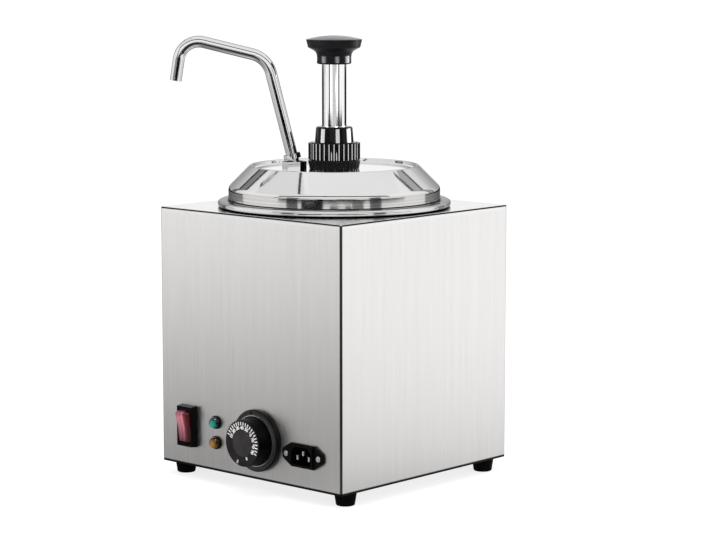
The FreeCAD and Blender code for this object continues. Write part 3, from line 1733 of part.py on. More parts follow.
def make_lid_shell():
    sheet = S.lid_sheet
    hole = S.neck_radius + S.sheet_gap
    setback = sheet * BEND_SETBACK_SHARE
    body = turned(
        "lid_shell",
        [
            Corner(LID_RADIUS, SEAL_TOP),
            Corner(LID_RADIUS, SHOULDER_Z, S.lid_shoulder_round),
            Corner(CREST_RADIUS, CREST_Z, S.lid_crest_round),
            Corner(DISH_RADIUS, DISH_Z, S.lid_crest_round),
            Corner(hole, DISH_Z),
            Corner(hole, DISH_UNDER),
            Corner(DISH_RADIUS + setback, DISH_UNDER, S.lid_crest_round + sheet),
            Corner(CREST_RADIUS, CREST_Z - sheet * CREST_DROP_SHARE, S.lid_crest_round - sheet),
            Corner(LID_RADIUS - sheet, SHOULDER_Z - setback, S.lid_shoulder_round - sheet),
            Corner(LID_RADIUS - sheet, SEAL_TOP),
        ],
    )
    riser_hole = [Circle(-S.spout_out, NONE, S.riser_thread_radius + S.sheet_gap / 2)]
    pocket(body, "XY_Plane", riser_hole, S.lid_sheet + S.overrun, DISH_Z + S.overrun / 2)
    keep(on_lid(body), "lid_shell")


def make_pump_head():
    inner = S.bore_radius + S.cylinder_wall + S.part_fit
    body = turned(
        "pump_head",
        [
            Corner(inner, DISH_UNDER - S.head_flange_thickness),
            Corner(S.head_flange_radius, DISH_UNDER - S.head_flange_thickness),
            Corner(S.head_flange_radius, DISH_UNDER),
            Corner(S.neck_radius, DISH_UNDER),
            Corner(S.neck_radius, NECK_TOP),
            Corner(inner, NECK_TOP),
        ],
    )
    keep(on_lid(body), "pump_head")


def make_collar_base():
    inner = S.neck_radius + S.part_fit
    body = turned(
        "collar_base",
        [
            Corner(inner, DISH_Z),
            Corner(S.collar_foot_radius, DISH_Z),
            Corner(S.collar_radius, COLLAR_TOP - S.knob_edge_round, S.knob_edge_round / 2),
            Corner(S.collar_radius - S.knob_edge_round, COLLAR_TOP),
            Corner(inner, COLLAR_TOP),
        ],
    )
    keep(on_lid(body), "collar_base")


def make_collar_nut():
    inner = S.neck_radius + S.thread_gap
    boss_inner = S.nut_boss_radius - S.nut_shoulder
    body = turned(
        "collar_nut",
        [
            Corner(inner, COLLAR_TOP),
            Corner(S.nut_radius, COLLAR_TOP),
            Corner(S.nut_radius, NUT_TOP, S.nut_edge_round),
            Corner(S.nut_boss_radius, NUT_TOP),
            Corner(S.nut_boss_radius, NUT_TOP + S.nut_boss_height),
            Corner(boss_inner, NUT_TOP + S.nut_boss_height),
            Corner(boss_inner, CYLINDER_TOP),
            Corner(inner, CYLINDER_TOP),
        ],
    )
    rib = [Circle(NONE, S.nut_radius, S.nut_rib_radius)]
    height = S.nut_height - S.nut_edge_round
    first = pad(body, "XY_Plane", rib, height, COLLAR_TOP)
    repeat_around(body, first, NUT_RIBS)
    keep(on_lid(body), "collar_nut")


def make_pump_cap():
    bore = S.plunger_radius + S.running_fit
    socket = S.nut_boss_radius + S.thread_gap
    body = turned(
        "pump_cap",
        [
            Corner(socket, NUT_TOP),
            Corner(S.cap_bottom_radius, NUT_TOP),
            Corner(S.cap_top_radius, CAP_TOP, S.cap_edge_round),
            Corner(bore, CAP_TOP),
            Corner(bore, CAP_TOP - S.cap_roof),
            Corner(socket, CAP_TOP - S.cap_roof),
        ],
    )
    keep(on_lid(body), "pump_cap")


# Pump cylinder, valve body, balls, riser


def make_pump_cylinder():
    outer = S.bore_radius + S.cylinder_wall
    top = CYLINDER_TOP
    body = turned(
        "pump_cylinder",
        [
            Corner(S.bore_radius, CYLINDER_BOTTOM),
            Corner(outer, CYLINDER_BOTTOM),
            Corner(outer, NECK_TOP),
            Corner(S.cylinder_flange_radius, NECK_TOP),
            Corner(S.cylinder_flange_radius, top),
            Corner(S.bore_radius, top),
        ],
    )
    keep(on_lid(body), "pump_cylinder")


def make_valve_body():
    body = turned(
        "valve_body",
        [
            Corner(NONE, VALVE_BOTTOM),
            Corner(S.valve_radius, VALVE_BOTTOM, S.valve_round),
            Corner(S.valve_radius, VALVE_TOP),
            Corner(NONE, VALVE_TOP),
        ],
    )
    arm = [Circle(NONE, PORT_Z, S.arm_radius)]
    pad(body, "YZ_Plane", arm, S.spout_out, back=True)
    socket = [Circle(-S.spout_out, NONE, S.riser_socket_radius)]
    height = RISER_SOCKET_TOP - RISER_SOCKET_BOTTOM
    pad(body, "XY_Plane", socket, height, RISER_SOCKET_BOTTOM)
    outer = S.bore_radius + S.cylinder_wall + S.thread_gap
    high = VALVE_TOP + S.overrun
    revolve(
        body,
        [
            Corner(NONE, VALVE_BOTTOM - S.overrun),
            Corner(S.intake_radius, VALVE_BOTTOM - S.overrun),
            Corner(S.intake_radius, VALVE_SEAT_TOP),
            Corner(S.intake_chamber_radius, VALVE_SEAT_TOP),
            Corner(S.intake_chamber_radius, CYLINDER_BOTTOM),
            Corner(outer, CYLINDER_BOTTOM),
            Corner(outer, high),
            Corner(NONE, high),
        ],
        "PartDesign::Groove",
    )
    pocket(body, "YZ_Plane", [Circle(NONE, PORT_Z, S.port_radius)], S.spout_out)
    seat = [Circle(-S.spout_out, NONE, S.outlet_seat_radius)]
    pocket(body, "XY_Plane", seat, RISER_SOCKET_TOP - PORT_Z, RISER_SOCKET_TOP)
    chamber = [Circle(-S.spout_out, NONE, S.outlet_chamber_radius)]
    pocket(body, "XY_Plane", chamber, RISER_SOCKET_TOP - OUTLET_SEAT_TOP, RISER_SOCKET_TOP)
    riser = [Circle(-S.spout_out, NONE, S.spout_radius + S.thread_gap)]
    pocket(body, "XY_Plane", riser, RISER_SOCKET_TOP - RISER_BOTTOM, RISER_SOCKET_TOP)
    keep(on_lid(body), "valve_body")


def ball_rise(ball, seat):
    """How far a ball's centre sits above the round edge that it rests on."""
    number = math.sqrt(float(ball) ** 2 - float(seat) ** 2)
    return Size(number, f"sqrt({ball.words} ^ 2 - {seat.words} ^ 2)")


def make_balls():
    intake = DOC.addObject("Part::Sphere", "intake_ball")
    intake.Radius = float(S.intake_ball_radius)
    bind(intake, "Radius", S.intake_ball_radius)
    rise = ball_rise(S.intake_ball_radius, S.intake_radius)
    keep(place(intake, z=VALVE_SEAT_TOP + rise + S.ball_seat_gap), "intake_ball")

    outlet = DOC.addObject("Part::Sphere", "outlet_ball")
    outlet.Radius = float(S.outlet_ball_radius)
    bind(outlet, "Radius", S.outlet_ball_radius)
    rise = ball_rise(S.outlet_ball_radius, S.outlet_seat_radius)
    turn = math.radians(float(A.spout_turn_angle))
    x = Size(
        -float(S.spout_out) * math.cos(turn),
        "(0 - Sizes.spout_out * cos(Sizes.spout_turn_angle * 1 deg))",
    )
    y = Size(
        -float(S.spout_out) * math.sin(turn),
        "(0 - Sizes.spout_out * sin(Sizes.spout_turn_angle * 1 deg))",
    )
    keep(place(outlet, x, y, OUTLET_SEAT_TOP + rise + S.ball_seat_gap), "outlet_ball")


def make_spring_seat():
    outer = S.bore_radius - S.part_fit
    body = turned(
        "spring_seat",
        [
            Corner(NONE, CYLINDER_BOTTOM),
            Corner(outer, CYLINDER_BOTTOM),
            Corner(outer, SPRING_SEAT_TOP),
            Corner(NONE, SPRING_SEAT_TOP),
        ],
    )
    hole = [Circle(S.spring_seat_hole_out, NONE, S.spring_seat_hole)]
    first = pocket(body, "XY_Plane", hole, S.overrun * 2, SPRING_SEAT_TOP + S.overrun / 2)
    repeat_around(body, first, SEAT_HOLES)
    keep(on_lid(body), "spring_seat")


def make_riser_tube():
    shoulder_low = DISH_UNDER - S.riser_shoulder_height
    body = turned(
        "riser_tube",
        [
            Corner(S.spout_bore, RISER_BOTTOM),
            Corner(S.spout_radius, RISER_BOTTOM),
            Corner(S.spout_radius, shoulder_low),
            Corner(S.riser_shoulder_radius, shoulder_low),
            Corner(S.riser_shoulder_radius, DISH_UNDER),
            Corner(S.riser_thread_radius, DISH_UNDER),
            Corner(S.riser_thread_radius, RISER_TOP),
            Corner(S.spout_bore, RISER_TOP),
        ],
    )
    riser_place(body)
    keep(body, "riser_tube")


def riser_place(item, z=NONE):
    """Puts an item on the riser's axis, turned with the spout."""
    turn = math.radians(float(A.spout_turn_angle))
    x = Size(
        -float(S.spout_out) * math.cos(turn),
        "(0 - Sizes.spout_out * cos(Sizes.spout_turn_angle * 1 deg))",
    )
    y = Size(
        -float(S.spout_out) * math.sin(turn),
        "(0 - Sizes.spout_out * sin(Sizes.spout_turn_angle * 1 deg))",
    )
    turned_about = Rotation(Vector(0, 0, 1), float(A.spout_turn_angle))
    return place(item, x, y, z, turned_about, A.spout_turn_angle)


# Spout


def pipe(name, run, outer, inner):
    """A round tube, outer and inner radius, along a run drawn in the body's XZ plane."""
    body = new_body(name)
    path = new_sketch(body, "XZ_Plane", [])
    draw_outline(path, run, closed=False)
    DOC.recompute()
    section = body.newObject("Sketcher::SketchObject", "section")
    section.AttachmentSupport = [(path, "Edge1"), (path, "Vertex1")]
    section.MapMode = "NormalToEdge"
    draw(section, [Circle(NONE, NONE, outer), Circle(NONE, NONE, inner)])
    DOC.recompute()
    swept = body.newObject("PartDesign::AdditivePipe", "swept")
    swept.Profile = section
    count = len(path.Shape.Edges)
    swept.Spine = (path, [f"Edge{spot}" for spot in range(1, count + 1)])
    return body


def make_spout():
    run = [
        Corner(-S.spout_out, SPOUT_BASE),
        Corner(-S.spout_bend_out, SPOUT_BEND, S.spout_first_bend),
        Corner(-S.spout_peak_out, SPOUT_PEAK, S.spout_last_bend),
        Corner(-S.spout_tip_out, SPOUT_TIP),
    ]
    tube = pipe("spout_tube", run, S.spout_radius, S.spout_bore)
    keep(on_lid(tube), "spout_tube")

    across = S.spout_bend_out - S.spout_out
    up = SPOUT_BEND - SPOUT_BASE
    ends = [
        Corner(-(S.spout_out + across * share), SPOUT_BASE + up * share)
        for share in (FERRULE_LOW_SHARE, FERRULE_HIGH_SHARE)
    ]
    ferrule = pipe("spout_ferrule", ends, S.ferrule_radius, S.spout_radius + S.part_fit)
    keep(on_lid(ferrule), "spout_ferrule")

    bore = S.riser_thread_radius + S.thread_gap
    nut = hex_nut("spout_nut", S.spout_nut_across_corners, S.spout_nut_height, bore)
    keep(riser_place(nut, DISH_Z), "spout_nut")


# Plunger


def make_plunger():
    inner = S.plunger_radius - S.plunger_wall
    tube_top = KNOB_BOTTOM + S.knob_socket_depth
    tube = turned(
        "plunger_tube",
        [
            Corner(inner, PLUNGER_LOWER_END),
            Corner(S.plunger_radius, PLUNGER_LOWER_END),
            Corner(S.plunger_radius, tube_top),
            Corner(inner, tube_top),
        ],
    )
    keep(tube, "plunger_tube")

    socket = S.plunger_radius + S.part_fit
    socket_top = tube_top + S.part_fit
    waist_x = S.knob_neck_radius + (S.knob_waist_radius - S.knob_neck_radius) * KNOB_WAIST_OUT_SHARE
    waist_z = S.knob_neck_height + (S.knob_waist_height - S.knob_neck_height) * KNOB_WAIST_UP_SHARE
    knob = turned(
        "plunger_knob",
        [
            Corner(socket, KNOB_BOTTOM),
            Corner(S.knob_neck_radius, KNOB_BOTTOM, S.knob_foot_round),
            Corner(S.knob_neck_radius, KNOB_BOTTOM + S.knob_neck_height),
            Via(waist_x, KNOB_BOTTOM + waist_z),
            Corner(S.knob_waist_radius, KNOB_BOTTOM + S.knob_waist_height),
            Corner(S.knob_disc_radius, KNOB_BOTTOM + S.knob_disc_height, S.knob_edge_round),
            Corner(S.knob_radius, KNOB_BOTTOM + S.knob_rim_height),
            Dome(),
            Corner(NONE, KNOB_BOTTOM + S.knob_height),
            Corner(NONE, socket_top),
            Corner(socket, socket_top),
        ],
    )
    keep(knob, "plunger_knob")

    outer = S.bore_radius - S.piston_gap
    groove_low = PISTON_BOTTOM + S.seal_ring_lift
    groove_in = S.bore_radius - S.seal_ring_width - S.part_fit
    groove_high = groove_low + S.seal_ring_height
    neck = inner - S.part_fit
    piston = turned(
        "piston",
        [
            Corner(NONE, PISTON_BOTTOM),
            Corner(outer, PISTON_BOTTOM),
            Corner(outer, groove_low),
            Corner(groove_in, groove_low),
            Corner(groove_in, groove_high),
            Corner(outer, groove_high),
            Corner(outer, PLUNGER_LOWER_END),
            Corner(neck, PLUNGER_LOWER_END),
            Corner(neck, PLUNGER_LOWER_END + S.piston_neck_height),
            Corner(NONE, PLUNGER_LOWER_END + S.piston_neck_height),
        ],
    )
    keep(piston, "piston")

    seal_out = S.bore_radius - S.running_fit
    seal_in = groove_in + S.running_fit
    seal = turned(
        "piston_seal",
        [
            Corner(seal_in, groove_low + S.part_fit),
            Corner(seal_out, groove_low + S.part_fit),
            Corner(seal_out, groove_high - S.part_fit),
            Corner(seal_in, groove_high - S.part_fit),
        ],
    )
    keep(seal, "piston_seal")


def helix_point(radius, rise, angle, low):
    return Vector(radius * math.cos(angle), radius * math.sin(angle), low + rise * angle)


def helix_way(radius, rise, angle):
    return Vector(-radius * math.sin(angle), radius * math.cos(angle), rise).normalize()


def arc_from(start, way, end):
    """The arc that leaves start along way and reaches end."""
    chord = end - start
    across = chord - way * (chord * way)
    sideways = across.normalize()
    length = chord.Length
    radius = length * length / (2 * (chord * sideways))
    centre = start + sideways * radius
    middle = centre + ((start + end) * 0.5 - centre).normalize() * radius
    return Part.Arc(start, middle, end).toShape()


def make_return_spring():
    """A wire wound on biarcs, each a quarter turn, between the spring seat and the piston."""
    wire = float(S.wire_radius)
    radius = float(S.spring_mean_radius)
    low = float(SPRING_SEAT_TOP + S.spring_end_gap) + wire
    high = float(PISTON_BOTTOM - S.spring_end_gap) - wire
    rise = (high - low) / (2 * math.pi * SPRING_TURNS)
    steps = SPRING_TURNS * SPRING_ARCS_PER_TURN
    step = 2 * math.pi / SPRING_ARCS_PER_TURN
    edges = []
    for spot in range(steps):
        start_angle, end_angle = spot * step, (spot + 1) * step
        start = helix_point(radius, rise, start_angle, low)
        end = helix_point(radius, rise, end_angle, low)
        way_in = helix_way(radius, rise, start_angle)
        way_out = helix_way(radius, rise, end_angle)
        chord = end - start
        both = way_in + way_out
        turn_share = 2 * (1 - way_in * way_out)
        root = math.sqrt((chord * both) ** 2 + turn_share * (chord * chord))
        reach = (root - chord * both) / turn_share
        middle = (start + end + (way_in - way_out) * reach) * 0.5
        edges.append(arc_from(start, way_in, middle))
        edges.append(arc_from(end, -way_out, middle))
    spine = Part.Wire(Part.__sortEdges__(edges))
    spots = [helix_point(radius, rise, spot * step, low) for spot in range(steps + 1)]
    half = SPRING_ARCS_PER_TURN // 2
    gap = min((far - near).Length for spot, near in enumerate(spots) for far in spots[spot + half :])
    print("least gap of the spring to itself", round(gap - wire * 2, 2))
    ring = Part.Circle(helix_point(radius, rise, 0, low), helix_way(radius, rise, 0), wire)
    spring = DOC.addObject("Part::Feature", "return_spring")
    spring.Shape = spine.makePipeShell([Part.Wire([ring.toShape()])], True, False)
    keep(spring, "return_spring")


def check_and_write():
    DOC.recompute()
    for item in DOC.Objects:
        states = set(item.State)
        if states & {"Invalid", "Error"}:
            raise RuntimeError(f"{item.Name} ({item.Label}) failed: {item.State}")
    for item in NODES:
        if item.Shape.isNull() or not item.Shape.isValid():
            raise RuntimeError(f"{item.Label} has no valid shape")
    os.makedirs("parts", exist_ok=True)
    for item in NODES:
        item.Shape.exportStep(f"parts/{item.Label}.step")
    print(len(NODES), "pieces written")


make_casing_wrap()
make_top_plate()
make_base_plate()
make_feet()
make_base_screws()
make_water_well()
make_insulation()
make_heater()
make_thermal_cutout()
make_thermostat()
make_dial_bezel()
make_dial_knob()
make_thermostat_shaft()
make_sensor()
make_bulb_clips()
make_switch_housing()
make_switch_rocker()
make_spade_tabs()
make_lamps()
make_inlet()
make_terminal_block()
make_earth_stud()
make_leads()
make_insert_pan()
make_lid_seal()
make_lid_shell()
make_pump_head()
make_collar_base()
make_collar_nut()
make_pump_cap()
make_pump_cylinder()
make_valve_body()
make_balls()
make_spring_seat()
make_riser_tube()
make_spout()
make_plunger()
make_return_spring()
check_and_write()
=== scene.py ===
import math

import bmesh
import bpy
from mathutils import Matrix, Vector


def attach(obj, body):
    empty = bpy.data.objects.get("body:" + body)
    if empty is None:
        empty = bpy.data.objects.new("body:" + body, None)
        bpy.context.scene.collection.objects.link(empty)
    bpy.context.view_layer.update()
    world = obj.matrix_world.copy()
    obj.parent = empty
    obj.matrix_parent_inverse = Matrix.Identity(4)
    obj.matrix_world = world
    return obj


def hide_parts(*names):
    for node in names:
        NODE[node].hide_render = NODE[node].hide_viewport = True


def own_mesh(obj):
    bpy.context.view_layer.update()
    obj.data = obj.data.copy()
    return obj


# A counter-top topping warmer: brushed casing, polished pan, lid and spout, black pump parts.
# Lengths are in metres, in the model's own frame: +Z up, the front panel faces -Y.

MM = 0.001
HALF_SIDE = 116.0 * MM
WHITE = (1.0, 1.0, 1.0)

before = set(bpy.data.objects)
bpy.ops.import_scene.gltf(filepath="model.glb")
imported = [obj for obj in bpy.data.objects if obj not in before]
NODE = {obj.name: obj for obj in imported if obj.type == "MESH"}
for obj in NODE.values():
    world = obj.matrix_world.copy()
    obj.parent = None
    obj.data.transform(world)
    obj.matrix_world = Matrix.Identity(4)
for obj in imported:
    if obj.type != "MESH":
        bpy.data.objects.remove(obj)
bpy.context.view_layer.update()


# Node trees and materials


class Graph:
    """A node tree and short ways to build it."""

    def __init__(self, tree):
        self.tree = tree

    def link(self, source, target):
        self.tree.links.new(source, target)

    def feed(self, socket, value):
        """Links an output to an input, or sets a plain value on it."""
        if isinstance(value, bpy.types.NodeSocket):
            self.link(value, socket)
        elif isinstance(value, tuple) and len(value) < len(socket.default_value):
            socket.default_value = (*value, 1.0)
        else:
            socket.default_value = value

    def node(self, kind, values=None, **settings):
        """A new node, with its settings made first and its inputs fed after."""
        made = self.tree.nodes.new(kind)
        for name, value in settings.items():
            setattr(made, name, value)
        for name, value in (values or {}).items():
            self.feed(made.inputs[name], value)
        return made

    def out(self, output, kind, values=None, **settings):
        """One output of a new node."""
        return self.node(kind, values, **settings).outputs[output]

    def math(self, operation, one, two=None):
        values = {0: one} if two is None else {0: one, 1: two}
        return self.out("Value", "ShaderNodeMath", values, operation=operation)

    def shown_if(self, factor, one, two):
        """The first shader where the factor is 0, the second where it is 1."""
        return self.out("Shader", "ShaderNodeMixShader", {0: factor, 1: one, 2: two})


class Finish(Graph):
    """A material and short ways to build its surface."""

    INPUTS = {
        "color": "Base Color",
        "metal": "Metallic",
        "rough": "Roughness",
        "specular": "Specular IOR Level",
        "edge": "Specular Tint",
        "glow": "Emission Strength",
        "glow_color": "Emission Color",
        "sheen": "Sheen Weight",
    }

    def __init__(self, name, material=None):
        self.material = material or bpy.data.materials.new(name)
        self.material.use_nodes = True
        super().__init__(self.material.node_tree)
        self.surface = self.tree.nodes["Principled BSDF"]
        self.output = self.tree.nodes["Material Output"]

    def set(self, **values):
        """Feeds inputs of the surface."""
        for name, value in values.items():
            self.feed(self.surface.inputs[self.INPUTS[name]], value)
        return self

    def where(self):
        return self.out("Object", "ShaderNodeTexCoord")

    def places(self, stretch=(1, 1, 1)):
        """Object coordinates, stretched per axis."""
        return self.out("Vector", "ShaderNodeMapping", {"Vector": self.where(), "Scale": stretch})

    def axes(self):
        """Object coordinates, with an output for each axis."""
        return self.node("ShaderNodeSeparateXYZ", {"Vector": self.where()}).outputs

    def noise(self, vector, scale=1.0, detail=3.0, rough=0.5):
        values = {"Vector": vector, "Scale": scale, "Detail": detail, "Roughness": rough}
        return self.out("Fac", "ShaderNodeTexNoise", values)

    def spread(self, value, low, high, from_low=0.3, from_high=0.7):
        """Maps a value onto a range."""
        values = {
            "Value": value, "From Min": from_low, "From Max": from_high, "To Min": low,
            "To Max": high,
        }
        return self.out("Result", "ShaderNodeMapRange", values)

    def above(self, low, high, axis="Z"):
        """0 below one place on an axis and 1 above another, in millimetres."""
        return self.spread(self.axes()[axis], 0.0, 1.0, low * MM, high * MM)

    def below(self, low, high, axis="Z"):
        """1 below one place on an axis and 0 above another, in millimetres."""
        return self.spread(self.axes()[axis], 1.0, 0.0, low * MM, high * MM)

    def sum(self, one, part, two, other_part):
        """Two values added up, each times its own part."""
        return self.math(
            "ADD", self.math("MULTIPLY", one, part), self.math("MULTIPLY", two, other_part)
        )

    def distance(self, one, two):
        """How far a point is from an axis, given its two offsets from it."""
        squares = self.math(
            "ADD", self.math("MULTIPLY", one, one), self.math("MULTIPLY", two, two)
        )
        return self.math("SQRT", squares)

    def off_axis(self):
        """How far a point is from the upright axis."""
        axes = self.axes()
        return self.distance(axes["X"], axes["Y"])

    def ramp(self, value, *stops):
        """A colour ramp with (position, colour) stops."""
        made = self.node("ShaderNodeValToRGB", {"Fac": value})
        band = made.color_ramp
        while len(band.elements) < len(stops):
            band.elements.new(0.5)
        for element, (position, color) in zip(band.elements, stops):
            element.position = position
            element.color = (*color, 1.0)
        return made.outputs["Color"]

    def tones(self, value, low, high):
        """A ramp between two colours, over the part of its range that a noise fills."""
        return self.ramp(value, (0.3, low), (0.7, high))

    def blend(self, factor, one, two, blend_type="MIX"):
        """Mixes two colours by a factor."""
        return self.out(
            2, "ShaderNodeMix", {0: factor, 6: one, 7: two}, data_type="RGBA",
            blend_type=blend_type,
        )

    def bump(self, height, distance, strength=0.3):
        """Gives the surface its relief, and returns the finished material."""
        values = {"Height": height, "Distance": distance, "Strength": strength}
        self.link(self.out("Normal", "ShaderNodeBump", values), self.surface.inputs["Normal"])
        return self.material

    def glowing(self, color, strength):
        return self.out("Emission", "ShaderNodeEmission", {"Color": color, "Strength": strength})

    def show(self, shader):
        self.link(shader, self.output.inputs["Surface"])


def grey(tone):
    return (tone, tone, tone)


def off_middle(finish, pick):
    """The smaller or the larger of a point's distances from the middle, along X and along Y."""
    axes = finish.axes()
    return finish.math(pick, *(finish.math("ABSOLUTE", axes[name]) for name in "XY"))


def painted_dark_fold(finish):
    """Painted reflection: 1 on the upright bends at the corners, which are painted dark, 0 on the
    flat walls.
    """
    nearest = off_middle(finish, "MINIMUM")
    return finish.spread(nearest, 0.0, 1.0, HALF_SIDE - 2.2 * MM, HALF_SIDE - 1.4 * MM)


def seam_shadow(finish):
    """1 in the fine joint lines at the top and bottom of the walls."""
    return finish.math("MAXIMUM", finish.above(253.7, 254.1), finish.below(14.3, 15.1))


def painted_hem_highlight(finish):
    """Painted highlight: 1 on the bend just below the deck, which is painted bright."""
    return finish.above(250.6, 251.4)


def lip_shadow(finish):
    """1 on the deck's thin outer edge."""
    farthest = off_middle(finish, "MAXIMUM")
    return finish.spread(farthest, 0.0, 1.0, HALF_SIDE - 0.5 * MM, HALF_SIDE - 0.3 * MM)


# Painted highlight on the hem, painted shade on the corner bends and joints of the walls, and
# painted shade on the deck's outer edge, each with its tone.
WALL_EDGES = ((painted_hem_highlight, 0.95), (painted_dark_fold, 0.07), (seam_shadow, 0.02))
DECK_EDGES = ((lip_shadow, 0.02),)
WARM = (1.0, 0.985, 0.975)


def brushed_steel(name, grain, light, rough, edges=()):
    """Sheet steel with fine scratches. The grain's scales are small along the scratches."""
    finish = Finish(name).set(metal=1.0)
    fine = finish.noise(finish.places(grain), detail=4.0, rough=0.6)
    wide = finish.noise(finish.places(tuple(size * 0.12 for size in grain)), detail=2.0)
    cloud = finish.noise(finish.places((6, 6, 5)), detail=2.0)
    low, high = light * 0.93, min(1.0, light * 1.05)
    tint = finish.ramp(
        finish.sum(fine, 0.75, wide, 0.25),
        (0.32, tuple(low * part for part in WARM)),
        (0.68, tuple(high * part for part in WARM)),
    )
    # Paints the given edges' painted highlight and painted shade into the colour.
    for line, tone in edges:
        tint = finish.blend(line(finish), tint, grey(tone))
    mixed = finish.sum(fine, 0.7, cloud, 0.3)
    finish.set(color=tint, rough=finish.spread(mixed, rough - 0.05, rough + 0.07))
    return finish.bump(fine, 0.00002, 0.35)


def polished_steel(
    name, light=0.8, rough=0.04, turned=False, edge=0.4, satin_below=None, painted_shadow_below=None,
    bright_within=None,
):
    """Bright steel with faint wiping marks, or with fine turned rings.

    It is satin below one height, with a painted shadow under the pan's rim below another, and its
    edge tint gives way to white within a radius. These are in millimetres.
    """
    finish = Finish(name).set(metal=1.0, edge=grey(edge))
    if bright_within:
        within = finish.spread(
            finish.off_axis(), 1.0, 0.0, (bright_within - 0.5) * MM, bright_within * MM
        )
        finish.set(edge=finish.blend(within, grey(edge), WHITE))
    cloud = finish.noise(finish.places((14, 14, 14)))
    if turned:
        fine = finish.noise(finish.places((8, 8, 900)))
    else:
        fine = finish.noise(finish.places((160, 160, 160)), detail=5.0, rough=0.7)
    tint = finish.tones(cloud, grey(light * 0.96), grey(light * 1.03))
    roughness = finish.spread(finish.sum(fine, 0.5, cloud, 0.5), rough * 0.6, rough * 1.5)
    if satin_below:
        low = finish.below(satin_below - 1, satin_below)
        rings = finish.noise(finish.places((2, 2, 700)))
        dull = finish.tones(rings, (0.58, 0.57, 0.56), (0.76, 0.75, 0.74))
        tint = finish.blend(low, tint, dull)
        roughness = finish.math("ADD", roughness, finish.math("MULTIPLY", low, 0.03))
    # Painted shadow: the steel under the pan's rim is painted nearly black.
    if painted_shadow_below:
        low = finish.below(painted_shadow_below - 0.6, painted_shadow_below)
        rim = finish.spread(finish.off_axis(), 0.0, 1.0, 103.5 * MM, 104.5 * MM)
        tint = finish.blend(finish.math("MULTIPLY", low, rim), tint, grey(0.01))
    finish.set(color=tint, rough=roughness)
    return finish.bump(fine, 0.000004, 0.2)


def moulded_plastic(name, tone, rough, grain=900.0, depth=0.00002, shine=0.4):
    """Moulded plastic with a fine texture and slight colour variation."""
    finish = Finish(name).set(specular=shine)
    fine = finish.noise(finish.places(), grain)
    cloud = finish.noise(finish.places(), 35.0, detail=2.0)
    low = tuple(value * 0.82 for value in tone)
    high = tuple(min(1.0, value * 1.2 + 0.002) for value in tone)
    finish.set(
        color=finish.tones(cloud, low, high),
        rough=finish.spread(cloud, rough - 0.05, rough + 0.07),
    )
    return finish.bump(fine, depth)


def glossy_black(name, tone=0.0006, rough=0.05):
    """Hard black plastic with a mould's polish and faint handling marks."""
    finish = Finish(name).set(specular=0.14)
    cloud = finish.noise(finish.places(), 45.0)
    finish.set(
        color=finish.tones(cloud, grey(tone), grey(tone * 2.5)),
        rough=finish.spread(cloud, rough * 0.7, rough * 1.5),
    )
    return finish.bump(finish.noise(finish.places(), 300.0, detail=2.0), 0.000002, 0.15)


def color_of(finish):
    """What feeds the surface's colour so far."""
    return finish.surface.inputs["Base Color"].links[0].from_socket


def painted_lit_top(material):
    """Paints the knob's top a lighter grey, a painted highlight where the light falls on it."""
    finish = Finish("", material)
    mottle = finish.noise(finish.places((60, 60, 60)), detail=4.0)
    lit_grey = finish.tones(mottle, (0.1, 0.1, 0.105), (0.15, 0.15, 0.155))
    finish.set(color=finish.blend(finish.above(411.6, 412.6), color_of(finish), lit_grey))
    return material


def soft_rubber(name, tone=grey(0.001)):
    finish = Finish(name).set(specular=0.06)
    dust = finish.noise(finish.places(), 60.0, detail=4.0)
    pale = tuple(value + 0.003 for value in tone)
    finish.set(
        color=finish.ramp(dust, (0.45, tone), (0.8, pale)), rough=finish.spread(dust, 0.6, 0.8)
    )
    return finish.bump(finish.noise(finish.places(), 1400.0, detail=4.0), 0.00004, 0.5)


def clear_colour(name, deep, bright, centre, reach=6.6):
    """Tinted lamp plastic with painted light: painted bright round a given centre, deep at its
    rim, glowing faintly.
    """
    finish = Finish(name).set(rough=0.06, specular=0.5, glow=0.28)
    away = finish.out(
        "Value", "ShaderNodeVectorMath",
        {0: finish.where(), 1: tuple(value * MM for value in centre)}, operation="DISTANCE",
    )
    cloud = finish.noise(finish.places(), 160.0, detail=2.0)
    # Painted light: the bright spot sits round the given centre, off the lens's middle.
    near = finish.spread(away, 1.0, 0.0, 0.0, reach * MM)
    tint = finish.ramp(finish.sum(near, 0.85, cloud, 0.15), (0.1, deep), (0.85, bright))
    finish.set(color=tint, glow_color=tint)
    return finish.bump(cloud, 0.00002, 0.2)


